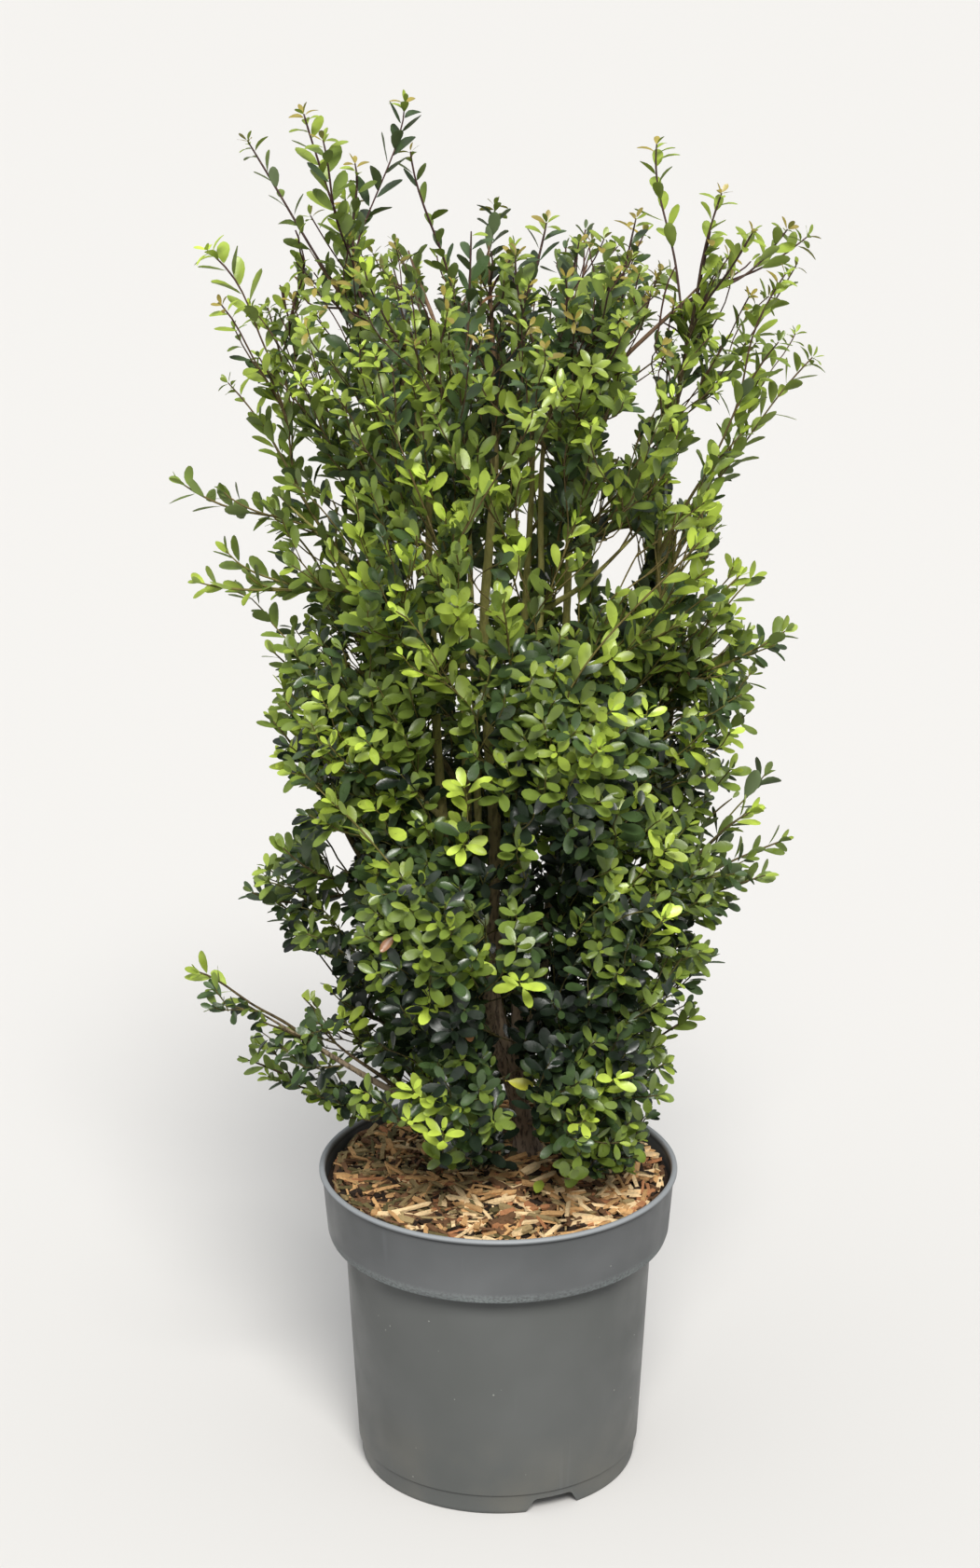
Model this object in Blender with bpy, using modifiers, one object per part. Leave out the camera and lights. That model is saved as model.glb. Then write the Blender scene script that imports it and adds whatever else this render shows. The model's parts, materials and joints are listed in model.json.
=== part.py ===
"""Potted japanese holly, an upright many-stemmed shrub in a round moulded nursery container.

Metres, +Z up. The origin is the middle of the container's foot, on the ground. -Y is the front, +X the right.
The container holds compost under a layer of wood chips. A short trunk stands on the chips and forks into
boughs, which run up a bare core and end where they enter the masses of foliage that stand round it in tiers.
"""

import math
import random

import bmesh
import bpy
from mathutils import Matrix, Vector, noise
from mathutils.bvhtree import BVHTree

GAP = 0.0003

# Container, a 15 litre size: radii and heights of its outside, and the thickness of its wall.
POT_HEIGHT = 0.267
RIM_RADIUS = 0.150
LIP_HEIGHT = 0.0045
LIP_OVERHANG = 0.0025
COLLAR_BOTTOM = 0.206
COLLAR_TOP_RADIUS = 0.1475
COLLAR_LOW_RADIUS = 0.1435
BODY_TOP_RADIUS = 0.129
BODY_LOW_RADIUS = 0.1195
FOOT_BAND = 0.0187
FOOT_RADIUS = 0.1155
WALL = 0.003
FLOOR_UNDERSIDE = 0.0135
POT_STEPS = 30

# Notches that let water out under the foot, and holes in the raised floor.
NOTCH_COUNT = 3
NOTCH_FIRST_DEG = -67.0
NOTCH_LOW_WIDTH = 0.050
NOTCH_TOP_WIDTH = 0.033
NOTCH_HEIGHT = 0.0125
DRAIN_COUNT = 6
DRAIN_RING = 0.078
DRAIN_RADIUS = 0.008

# Compost, and the wood chips on it, which stand a little higher in the middle.
COMPOST_TOP = 0.236
CHIPS_EDGE = 0.2535
CHIPS_MIDDLE = 0.2605
CHIPS_UNEVEN = 0.0025
CHIPS_RINGS = 5

# Trunk: the middle of its foot, and where it forks.
TRUNK_FOOT = (0.025, 0.030)
TRUNK_FORK = (0.011, 0.018, 0.342)
TRUNK_RADIUS = 0.0092
TRUNK_TOP_RADIUS = 0.0080
FLARE_RADIUS = 0.0165
FLARE_HEIGHT = 0.022
FLARE_CLEARANCE = 0.045

# Tiers of foliage: middle height, half height, radius of the bare core, usual outer radius, and the
# directions of their masses in degrees from +X towards the back.
TIERS = {
    "skirt": (0.392, 0.060, 0.045, 0.158, {
        "left": 170, "front_left": -118, "front_right": -46, "right": 26, "back": 98,
    }),
    "lower": (0.530, 0.080, 0.056, 0.186, {
        "left": 180, "front_left": -108, "front_right": -36, "back_right": 36, "back_left": 108,
    }),
    "middle": (0.685, 0.080, 0.068, 0.182, {
        "left": -144, "front": -72, "right": 0, "back_right": 72, "back_left": 144,
    }),
    "upper": (0.845, 0.082, 0.074, 0.188, {
        "left": 180, "front_left": -108, "front_right": -36, "back_right": 36, "back_left": 108,
    }),
    "top": (0.985, 0.072, 0.060, 0.192, {
        "left": 178, "front_left": -122, "front_right": -58, "right": 2, "back_right": 62, "back_left": 120,
    }),
}
TOP_CENTRE = (0.0, 0.0, 1.000)
TOP_CENTRE_HALF = (0.066, 0.066, 0.064)

# Thin sprays low down, each round one long side shoot: from, to, half width and half thickness.
SPRAYS = {
    "low_left": ((-0.125, -0.070, 0.392), (-0.247, -0.120, 0.488), 0.030, 0.017),
    "low_far_left": ((-0.105, -0.034, 0.322), (-0.209, -0.040, 0.377), 0.036, 0.019),
    "low_front_right": ((0.058, -0.040, 0.290), (0.128, -0.080, 0.328), 0.036, 0.020),
    "low_front": ((0.004, -0.034, 0.288), (-0.050, -0.082, 0.298), 0.022, 0.011),
}

# Tips of the leading shoots, the furthest points of the crown: direction in degrees, reach and height.
LEADING_TIPS = (
    (166, 0.203, 1.113), (-172, 0.149, 1.142), (165, 0.076, 1.150), (131, 0.106, 1.101), (175, 0.231, 1.032),
    (-164, 0.221, 1.004), (14, 0.125, 1.114), (-110, 0.053, 1.068), (-53, 0.112, 1.063), (-10, 0.172, 1.085),
    (14, 0.254, 1.036), (90, 0.150, 1.094), (66, 0.236, 1.010), (112, 0.246, 0.984), (-84, 0.224, 0.972),
    (173, 0.263, 0.845), (-168, 0.241, 0.784), (154, 0.202, 0.802), (17, 0.270, 0.938), (-6, 0.194, 0.900),
    (-97, 0.252, 0.826), (-50, 0.232, 0.860), (84, 0.250, 0.872), (-165, 0.189, 0.731), (-5, 0.230, 0.739),
    (-70, 0.222, 0.700), (78, 0.236, 0.716), (135, 0.222, 0.730), (-152, 0.194, 0.582), (-174, 0.207, 0.519),
    (15, 0.232, 0.595), (-18, 0.227, 0.549), (-100, 0.214, 0.560), (94, 0.226, 0.556), (-142, 0.211, 0.470),
    (16, 0.186, 0.433), (-70, 0.168, 0.330), (100, 0.178, 0.420),
)

# Form of a mass: gap to its neighbours, facets, how steeply it rises outwards, how much its half sizes exceed
# its share of the tier, its unevenness, how closely it fills its corners, and the shoots that roughen it.
MASS_GAP = 0.009
MASS_SEGMENTS = 13
MASS_RINGS = 8
MASS_RISE_DEG = 38.0
MASS_FULLNESS = (1.12, 1.18, 1.16)
MASS_UNEVEN = 0.34
MASS_UNEVEN_SIZE = 0.62
MASS_SQUARENESS = 10.0
MASS_SHOOTS = 6
SHOOT_LONGEST = 1.55
SHOOT_SHORTEST = 1.15
LOBE_WIDTH = 0.34
MASS_LOWEST = 0.277

# Main boughs: parent, height at which it leaves the parent, points it passes, the mass that it heads for,
# and its radius where it leaves the parent and where it ends.
BOUGHS = {
    "bough_centre": ("trunk", 0.345, (
        (-0.006, 0.010, 0.430), (-0.003, 0.000, 0.560), (-0.012, 0.000, 0.720), (-0.003, 0.000, 0.870),
    ), "foliage_top_centre", 0.0066, 0.0040),
    "bough_left": ("trunk", 0.322, (
        (-0.026, -0.016, 0.440), (-0.046, -0.026, 0.600), (-0.054, -0.018, 0.780), (-0.064, -0.012, 0.905),
    ), "foliage_top_left", 0.0056, 0.0034),
    "bough_far_left": ("bough_left", 0.395, (
        (-0.058, 0.002, 0.480),
    ), "foliage_lower_left", 0.0040, 0.0030),
    "bough_right": ("trunk", 0.330, (
        (0.036, 0.010, 0.430), (0.050, 0.006, 0.620), (0.056, 0.004, 0.800), (0.064, 0.004, 0.905),
    ), "foliage_top_right", 0.0056, 0.0034),
    "bough_inner_right": ("bough_centre", 0.440, (
        (0.020, -0.022, 0.560), (0.032, -0.034, 0.740), (0.036, -0.052, 0.905),
    ), "foliage_top_front_right", 0.0040, 0.0028),
    "bough_back": ("trunk", 0.318, (
        (0.016, 0.042, 0.430), (0.018, 0.052, 0.640), (0.026, 0.054, 0.820), (0.032, 0.058, 0.905),
    ), "foliage_top_back_right", 0.0052, 0.0032),
    "bough_back_left": ("bough_centre", 0.415, (
        (-0.024, 0.032, 0.540), (-0.030, 0.048, 0.760), (-0.034, 0.056, 0.905),
    ), "foliage_top_back_left", 0.0042, 0.0030),
    "bough_front": ("bough_left", 0.375, (
        (-0.014, -0.040, 0.500), (-0.020, -0.050, 0.720), (-0.032, -0.054, 0.905),
    ), "foliage_top_front_left", 0.0040, 0.0028),
}

# Side boughs: parent, height at which it leaves the parent, and the mass it enters.
SIDE_BOUGHS = {
    "side_bough_skirt_left": ("bough_left", 0.358, "foliage_skirt_left"),
    "side_bough_skirt_front_right": ("trunk", 0.312, "foliage_skirt_front_right"),
    "side_bough_lower_front_left": ("bough_front", 0.445, "foliage_lower_front_left"),
    "side_bough_lower_front_right": ("bough_inner_right", 0.480, "foliage_lower_front_right"),
    "side_bough_lower_back_left": ("bough_back_left", 0.470, "foliage_lower_back_left"),
    "side_bough_middle_left": ("bough_left", 0.580, "foliage_middle_left"),
    "side_bough_middle_front": ("bough_inner_right", 0.600, "foliage_middle_front"),
    "side_bough_middle_right": ("bough_right", 0.590, "foliage_middle_right"),
    "side_bough_middle_back_right": ("bough_back", 0.590, "foliage_middle_back_right"),
    "side_bough_upper_left": ("bough_left", 0.745, "foliage_upper_left"),
    "side_bough_upper_front_left": ("bough_front", 0.740, "foliage_upper_front_left"),
    "side_bough_upper_front_right": ("bough_inner_right", 0.755, "foliage_upper_front_right"),
    "side_bough_upper_back_left": ("bough_back_left", 0.750, "foliage_upper_back_left"),
}
SIDE_RADIUS = 0.0028
SIDE_END_RADIUS = 0.0021

# Low boughs leave the trunk just over the chips: height, points they pass, and the mass they enter.
LOW_BOUGHS = {
    "low_bough_left": (0.298, ((-0.040, -0.028, 0.332), (-0.082, -0.052, 0.352)), "foliage_low_left"),
    "low_bough_far_left": (0.288, ((-0.035, 0.004, 0.300), (-0.070, -0.016, 0.310)), "foliage_low_far_left"),
    "low_bough_front_right": (0.292, ((0.045, 0.000, 0.300),), "foliage_low_front_right"),
}
LOW_RADIUS = 0.0034
LOW_END_RADIUS = 0.0024

ROUTE_STEP = 0.044
ROUTE_TEST_STEP = 0.003


def clear_scene():
    for obj in list(bpy.data.objects):
        bpy.data.objects.remove(obj, do_unlink=True)


def new_collection(name):
    collection = bpy.data.collections.new(name)
    bpy.context.scene.collection.children.link(collection)
    return collection


def new_material(name, colour, roughness, metallic=0.0):
    material = bpy.data.materials.new(name)
    material.use_nodes = True
    shader = material.node_tree.nodes["Principled BSDF"]
    shader.inputs["Base Color"].default_value = (*colour, 1.0)
    shader.inputs["Roughness"].default_value = roughness
    shader.inputs["Metallic"].default_value = metallic
    return material


def new_object(name, data, collection, material=None):
    obj = bpy.data.objects.new(name, data)
    collection.objects.link(obj)
    if material is not None:
        data.materials.append(material)
    return obj


def evaluated_mesh(obj):
    bpy.context.view_layer.update()
    graph = bpy.context.evaluated_depsgraph_get()
    return bpy.data.meshes.new_from_object(obj.evaluated_get(graph), depsgraph=graph)


def solid_mesh_of(obj):
    """The object's evaluated mesh, in world space, with its loose seams merged and its faces pointing out."""
    mesh = evaluated_mesh(obj)
    mesh.transform(obj.matrix_world)
    form = bmesh.new()
    form.from_mesh(mesh)
    bmesh.ops.remove_doubles(form, verts=form.verts, dist=1e-6)
    bmesh.ops.recalc_face_normals(form, faces=form.faces)
    form.to_mesh(mesh)
    form.free()
    return mesh


def smooth_shading(mesh, sharp_deg=40.0):
    mesh.shade_smooth()
    mesh.set_sharp_from_angle(angle=math.radians(sharp_deg))


def round_direction(azimuth_deg):
    azimuth = math.radians(azimuth_deg)
    return Vector((math.cos(azimuth), math.sin(azimuth), 0.0))


def turned(name, profile, steps, collection, material):
    """A profile of (radius, height) points, turned round Z."""
    mesh = bpy.data.meshes.new(name)
    points = [(radius, 0.0, height) for radius, height in profile]
    edges = [(i, i + 1) for i in range(len(points) - 1)]
    mesh.from_pydata(points, edges, [])
    obj = new_object(name, mesh, collection, material)
    screw = obj.modifiers.new("turn", "SCREW")
    screw.axis = "Z"
    screw.steps = steps
    screw.render_steps = steps
    screw.use_merge_vertices = True
    screw.merge_threshold = 0.00005
    return obj


def cut(obj, cutter):
    modifier = obj.modifiers.new("cut_" + cutter.name, "BOOLEAN")
    modifier.operation = "DIFFERENCE"
    modifier.solver = "EXACT"
    modifier.object = cutter


def as_cutter(obj):
    obj.hide_render = True
    obj.display_type = "WIRE"


def outer_wall_radius(height):
    """Outside radius of the container's body between its foot band and its collar."""
    share = (height - FOOT_BAND) / (COLLAR_BOTTOM - FOOT_BAND)
    return BODY_LOW_RADIUS + (BODY_TOP_RADIUS - BODY_LOW_RADIUS) * share


def inner_profile():
    """Inside of the container from the middle of its floor up to the rim, as (radius, height)."""
    floor_top = FLOOR_UNDERSIDE + WALL
    shoulder = COLLAR_BOTTOM + WALL
    return [
        (0.0, floor_top),
        (outer_wall_radius(floor_top) - WALL - 0.002, floor_top),
        (outer_wall_radius(floor_top + 0.002) - WALL, floor_top + 0.002),
        (BODY_TOP_RADIUS - WALL, shoulder),
        (COLLAR_LOW_RADIUS - WALL - 0.002, shoulder),
        (COLLAR_LOW_RADIUS - WALL, shoulder + 0.002),
        (COLLAR_TOP_RADIUS - WALL, POT_HEIGHT - LIP_HEIGHT),
        (COLLAR_TOP_RADIUS - WALL + 0.0015, POT_HEIGHT),
    ]


def outer_profile():
    """Outside of the container from the rim down to the middle of the floor's underside."""
    foot_inner = FOOT_RADIUS - WALL
    return [
        (RIM_RADIUS - 0.0008, POT_HEIGHT),
        (RIM_RADIUS, POT_HEIGHT - 0.0008),
        (RIM_RADIUS, POT_HEIGHT - LIP_HEIGHT),
        (RIM_RADIUS - LIP_OVERHANG, POT_HEIGHT - LIP_HEIGHT - 0.0005),
        (COLLAR_LOW_RADIUS, COLLAR_BOTTOM + 0.007),
        (COLLAR_LOW_RADIUS - 0.0015, COLLAR_BOTTOM + 0.0022),
        (COLLAR_LOW_RADIUS - 0.0050, COLLAR_BOTTOM),
        (BODY_TOP_RADIUS + 0.0015, COLLAR_BOTTOM),
        (BODY_TOP_RADIUS, COLLAR_BOTTOM - 0.0015),
        (BODY_LOW_RADIUS, FOOT_BAND),
        (BODY_LOW_RADIUS - 0.0008, FOOT_BAND - 0.0008),
        (FOOT_RADIUS + 0.0012, 0.0030),
        (FOOT_RADIUS, 0.0),
        (foot_inner, 0.0),
        (foot_inner, FLOOR_UNDERSIDE),
        (0.0, FLOOR_UNDERSIDE),
    ]


def notch_cutter(index, cutters):
    """A wedge-sided block, wider at the ground, that goes through the foot only."""
    form = bmesh.new()
    bmesh.ops.create_cube(form, size=1.0)
    for vert in form.verts:
        width = NOTCH_TOP_WIDTH if vert.co.z > 0 else NOTCH_LOW_WIDTH
        height = NOTCH_HEIGHT if vert.co.z > 0 else -0.002
        vert.co = Vector((vert.co.x * 0.016 + FOOT_RADIUS, vert.co.y * width, height))
    crossing = [edge for edge in form.edges if abs(edge.verts[0].co.y - edge.verts[1].co.y) < 1e-6]
    top_corners = [edge for edge in crossing if min(vert.co.z for vert in edge.verts) > 0]
    bmesh.ops.bevel(form, geom=top_corners, offset=0.003, segments=2, affect="EDGES", profile=0.5)
    mesh = bpy.data.meshes.new(f"notch_{index}")
    form.to_mesh(mesh)
    form.free()
    cutter = new_object(f"notch_{index}", mesh, cutters)
    cutter.rotation_euler.z = math.radians(NOTCH_FIRST_DEG + index * 360.0 / NOTCH_COUNT)
    as_cutter(cutter)
    return cutter


def drain_cutter(index, cutters):
    form = bmesh.new()
    bmesh.ops.create_cone(
        form, cap_ends=True, segments=10, radius1=DRAIN_RADIUS, radius2=DRAIN_RADIUS, depth=WALL * 4
    )
    mesh = bpy.data.meshes.new(f"drain_{index}")
    form.to_mesh(mesh)
    form.free()
    cutter = new_object(f"drain_{index}", mesh, cutters)
    place = round_direction(index * 360.0 / DRAIN_COUNT) * DRAIN_RING
    cutter.location = (place.x, place.y, FLOOR_UNDERSIDE + WALL / 2)
    as_cutter(cutter)
    return cutter


def make_pot(parts, cutters):
    grey = new_material("grey_container_plastic", (0.155, 0.160, 0.162), 0.55)
    pot = turned("pot", inner_profile() + outer_profile(), POT_STEPS, parts, grey)
    for index in range(NOTCH_COUNT):
        cut(pot, notch_cutter(index, cutters))
    for index in range(DRAIN_COUNT):
        cut(pot, drain_cutter(index, cutters))
    return pot


def filling_profile():
    """Outside of what fills the container, from its bottom up: the inner wall, less a gap."""
    return [(max(radius - GAP * 2, 0.0), height + GAP * 2) for radius, height in inner_profile()]


def filling_radius(height):
    wall = filling_profile()
    for (low_radius, low), (high_radius, high) in zip(wall, wall[1:]):
        if low <= height <= high and high > low:
            return low_radius + (high_radius - low_radius) * (height - low) / (high - low)
    return wall[-1][0]


def make_compost(parts):
    soil = new_material("compost", (0.030, 0.020, 0.013), 0.95)
    below = [point for point in reversed(filling_profile()) if point[1] < COMPOST_TOP]
    profile = [(0.0, COMPOST_TOP), (filling_radius(COMPOST_TOP), COMPOST_TOP)] + below
    return turned("compost", profile, POT_STEPS, parts, soil)


def chips_height(x, y):
    """Height of the chips: domed, uneven, and level where the trunk stands."""
    edge = filling_radius(CHIPS_EDGE)
    dome = CHIPS_MIDDLE - (CHIPS_MIDDLE - CHIPS_EDGE) * (math.hypot(x, y) / edge) ** 2
    uneven = CHIPS_UNEVEN * noise.noise(Vector((x, y, 0.0)) * 28.0)
    away = math.hypot(x - TRUNK_FOOT[0], y - TRUNK_FOOT[1]) - FLARE_CLEARANCE
    share = min(max(away / 0.03, 0.0), 1.0)
    return CHIPS_MIDDLE - GAP + (dome + uneven - CHIPS_MIDDLE + GAP) * share


def make_chips(parts, cutters):
    """A turned layer whose top is then heaped, as a mesh of its own."""
    brown = new_material("wood_chips", (0.215, 0.135, 0.068), 0.90)
    bottom = COMPOST_TOP + GAP
    edge = filling_radius(CHIPS_EDGE)
    profile = [(edge * i / CHIPS_RINGS, CHIPS_EDGE) for i in range(CHIPS_RINGS + 1)]
    profile += [(filling_radius(bottom), bottom), (0.0, bottom)]
    blank = turned("chips_blank", profile, POT_STEPS, cutters, brown)
    mesh = solid_mesh_of(blank)
    for vert in mesh.vertices:
        if vert.co.z > CHIPS_EDGE - 1e-5:
            vert.co.z = chips_height(vert.co.x, vert.co.y)
    bpy.data.objects.remove(blank, do_unlink=True)
    mesh.name = "wood_chips"
    return new_object("wood_chips", mesh, parts)


class Mass:
    """One mass of foliage: an uneven egg that rises outwards, kept off its neighbours, drawn out to its tips."""

    def __init__(self, name, centre, outward, half, seed):
        self.name = name
        self.centre = Vector(centre)
        side = Vector((0.0, 0.0, 1.0)).cross(outward).normalized()
        self.axes = (outward.normalized(), side, outward.cross(side).normalized())
        self.half = half
        self.seed = seed
        self.walls = []
        self.tips = []

    def reach(self):
        return (self.half[0] * self.half[1] * self.half[2]) ** (1.0 / 3.0)

    def add_wall(self, normal, distance):
        """Keeps the mass within a distance of its centre along a normal."""
        self.walls.append((normal, distance))

    def keep_off(self, other):
        between = other.centre - self.centre
        length = between.length
        share = (length**2 + self.reach() ** 2 - other.reach() ** 2) / (2 * length)
        self.add_wall(between / length, share - MASS_GAP / 2)

    def wall_limit(self, direction):
        limits = [d / direction.dot(n) for n, d in self.walls if direction.dot(n) > 1e-6]
        return min(limits, default=math.inf)

    def body(self, direction):
        flat = sum((direction.dot(axis) / half) ** 2 for axis, half in zip(self.axes, self.half))
        uneven = noise.noise(direction / MASS_UNEVEN_SIZE + Vector((self.seed * 7.3, 1.7, 4.1)))
        return (1.0 + MASS_UNEVEN * uneven) / math.sqrt(flat)

    def small_shoots(self):
        """Ends of the small shoots, most of them outwards and upwards, from the middle of the mass."""
        chance = random.Random(self.seed)
        outward, side, upward = self.axes
        shoots = []
        for _ in range(MASS_SHOOTS):
            toward = outward * chance.uniform(0.3, 1.0) + side * chance.uniform(-0.9, 0.9)
            direction = (toward + upward * chance.uniform(-0.4, 1.0)).normalized()
            shoots.append(direction * self.body(direction) * chance.uniform(SHOOT_SHORTEST, SHOOT_LONGEST))
        return shoots

    def radius(self, direction, shoots):
        wanted = self.body(direction)
        for out in shoots:
            lobe = math.exp(-((direction.angle(out) / LOBE_WIDTH) ** 2))
            wanted = max(wanted, out.length * lobe)
        limit = self.wall_limit(direction)
        if limit == math.inf:
            return wanted
        return (wanted**-MASS_SQUARENESS + limit**-MASS_SQUARENESS) ** (-1.0 / MASS_SQUARENESS)

    def mesh(self):
        form = bmesh.new()
        bmesh.ops.create_uvsphere(form, u_segments=MASS_SEGMENTS, v_segments=MASS_RINGS, radius=1.0)
        turn = Matrix.Rotation(self.seed * 0.9, 3, "Z")
        directions = [(turn @ vert.co).normalized() for vert in form.verts]
        free = set(range(len(directions)))
        shoots = self.small_shoots() + [tip - self.centre for tip in self.tips]
        lengths = [self.radius(direction, shoots) for direction in directions]
        for tip in self.tips:
            out = tip - self.centre
            nearest = max(free, key=lambda i: directions[i].dot(out.normalized()))
            free.discard(nearest)
            directions[nearest] = out.normalized()
            lengths[nearest] = min(out.length, self.wall_limit(directions[nearest]))
        for vert, direction, length in zip(form.verts, directions, lengths):
            vert.co = self.centre + direction * length
        bmesh.ops.triangulate(form, faces=form.faces)
        bmesh.ops.recalc_face_normals(form, faces=form.faces)
        mesh = bpy.data.meshes.new(self.name)
        form.to_mesh(mesh)
        form.free()
        return mesh


def tier_masses():
    masses = []
    rise = math.radians(MASS_RISE_DEG)
    for tier, (height, half_height, core, outer, directions) in TIERS.items():
        for place, azimuth in directions.items():
            flat_out = round_direction(azimuth)
            reach = (core + outer) / 2
            spread = math.pi / len(directions)
            share = ((outer - core) / 2, reach * math.sin(spread), half_height)
            half = [size * fullness for size, fullness in zip(share, MASS_FULLNESS)]
            outward = flat_out * math.cos(rise) + Vector((0.0, 0.0, math.sin(rise)))
            centre = flat_out * reach + Vector((0.0, 0.0, height))
            mass = Mass(f"foliage_{tier}_{place}", centre, outward, half, len(masses) + 1)
            mass.add_wall(-flat_out, reach - core)
            masses.append(mass)
    half = TOP_CENTRE_HALF
    masses.append(Mass("foliage_top_centre", TOP_CENTRE, Vector((1.0, 0.0, 0.2)), half, len(masses) + 1))
    return masses


def spray_masses(first_seed):
    sprays = []
    for place, (start, end, half_width, half_thick) in SPRAYS.items():
        along = Vector(end) - Vector(start)
        centre = Vector(start).lerp(Vector(end), 0.42)
        half = (along.length * 0.46, half_width, half_thick)
        spray = Mass(f"foliage_{place}", centre, along, half, first_seed + len(sprays))
        spray.tips.append(Vector(end))
        sprays.append(spray)
    return sprays


def make_foliage(parts):
    masses = tier_masses()
    masses += spray_masses(len(masses) + 1)
    for mass in masses:
        for other in masses:
            if other is not mass:
                mass.keep_off(other)
        mass.add_wall(Vector((0.0, 0.0, -1.0)), mass.centre.z - MASS_LOWEST)
    for azimuth, reach, height in LEADING_TIPS:
        tip = round_direction(azimuth) * reach + Vector((0.0, 0.0, height))
        owner = min(masses, key=lambda mass: (tip - mass.centre).length_squared - mass.reach() ** 2)
        owner.tips.append(tip)
    low_green = new_material("holly_leaves_low", (0.035, 0.085, 0.030), 0.45)
    high_green = new_material("holly_leaves_high", (0.105, 0.190, 0.045), 0.45)
    built = {}
    for mass in masses:
        green = high_green if mass.centre.z > TIERS["upper"][0] - 0.01 else low_green
        built[mass.name] = new_object(mass.name, mass.mesh(), parts, green)
    return {mass.name: mass for mass in masses}, built


def smooth_route(points, step):
    """Points a step apart on a smooth curve through the given ones."""
    ends = [points[0] * 2 - points[1]] + points + [points[-1] * 2 - points[-2]]
    route = [points[0]]
    for before, start, end, after in zip(ends, ends[1:], ends[2:], ends[3:]):
        count = max(1, round((end - start).length / step))
        for i in range(1, count + 1):
            t = i / count
            route.append(
                0.5 * (2 * start + (end - before) * t + (2 * before - 5 * start + 4 * end - after) * t**2
                       + (3 * start - before - 3 * end + after) * t**3)
            )
    return route


def route_at_height(route, height):
    for low, high in zip(route, route[1:]):
        if low.z <= height <= high.z:
            return low.lerp(high, (height - low.z) / (high.z - low.z))
    return route[-1]


def limb_tube(name, route, radii, resolution, collection, material=None):
    curve = bpy.data.curves.new(name, "CURVE")
    curve.dimensions = "3D"
    curve.bevel_depth = 1.0
    curve.bevel_resolution = resolution
    curve.use_fill_caps = True
    spline = curve.splines.new("POLY")
    spline.points.add(len(route) - 1)
    for point, place, radius in zip(spline.points, route, radii):
        point.co = (*place, 1.0)
        point.radius = radius
    return new_object(name, curve, collection, material)


def limb_mesh_object(name, route, radii, resolution, collection, material):
    """The tube as a mesh object with its caps welded, so that it can be cut."""
    tube = limb_tube(name + "_tube", route, radii, resolution, collection)
    mesh = solid_mesh_of(tube)
    mesh.name = name
    bpy.data.objects.remove(tube, do_unlink=True)
    smooth_shading(mesh)
    return new_object(name, mesh, collection, material)


def tapered(route, first, last):
    lengths = [0.0]
    for here, there in zip(route, route[1:]):
        lengths.append(lengths[-1] + (there - here).length)
    return [first + (last - first) * length / lengths[-1] for length in lengths]


def ended_at_mass(points, surfaces, end_radius):
    """The route through these points, ended just before it enters the first mass that it comes to."""
    fine = smooth_route(points, ROUTE_TEST_STEP)
    kept = []
    for place in fine:
        if any(surface.find_nearest(place)[3] < end_radius + GAP * 2 for surface in surfaces):
            break
        kept.append(place)
    every = max(1, round(ROUTE_STEP / ROUTE_TEST_STEP))
    inner = kept[every:-every // 2:every]
    return [kept[0]] + inner + [kept[-1]]


class Limbs:
    """The trunk and boughs made so far, by name, with their routes and radii."""

    def __init__(self, parts, cutters, masses, mass_objects):
        self.parts = parts
        self.cutters = cutters
        self.masses = masses
        graph = bpy.context.evaluated_depsgraph_get()
        self.surfaces = [BVHTree.FromObject(obj, graph) for obj in mass_objects.values()]
        self.bark = new_material("bark", (0.115, 0.080, 0.052), 0.80)
        self.routes = {}
        self.radii = {}

    def add(self, name, route, radii, resolution=1):
        limb = limb_mesh_object(name, route, radii, resolution, self.parts, self.bark)
        for other, other_route in self.routes.items():
            if self.meets(route, radii[0], other):
                wider = [radius + GAP * 1.5 for radius in self.radii[other]]
                cutter_name = f"{other}_clear_of_{name}"
                sides = 2 if other == "trunk" else 1
                cutter = limb_mesh_object(cutter_name, other_route, wider, sides, self.cutters, None)
                as_cutter(cutter)
                cut(limb, cutter)
        self.routes[name] = route
        self.radii[name] = radii
        return limb

    def meets(self, route, radius, other):
        """Whether the start of a route lies in or beside another limb."""
        near = radius + max(self.radii[other]) + GAP * 2
        fine = smooth_route(self.routes[other], ROUTE_TEST_STEP)
        start = smooth_route(route[:3], ROUTE_TEST_STEP)
        return any((a - b).length < near for a in start for b in fine)

    def grow(self, name, parent, height, passes, mass_name, first, last):
        start = route_at_height(self.routes[parent], height)
        points = [start] + [Vector(p) for p in passes] + [self.masses[mass_name].centre]
        route = ended_at_mass(points, self.surfaces, last)
        return self.add(name, route, tapered(route, first, last))


def make_trunk(limbs):
    foot = Vector((*TRUNK_FOOT, CHIPS_MIDDLE))
    fork = Vector(TRUNK_FORK)
    flare_top = foot + Vector((0.0, 0.0, FLARE_HEIGHT))
    route = [foot, foot + Vector((0.0, 0.0, FLARE_HEIGHT * 0.4)), flare_top]
    route += smooth_route([flare_top, flare_top.lerp(fork, 0.5) + Vector((0.002, 0.0, 0.0)), fork], 0.02)[1:]
    flare = [FLARE_RADIUS, TRUNK_RADIUS * 1.25]
    radii = flare + tapered(route[2:], TRUNK_RADIUS, TRUNK_TOP_RADIUS)
    limbs.add("trunk", route, radii, resolution=2)


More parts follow.
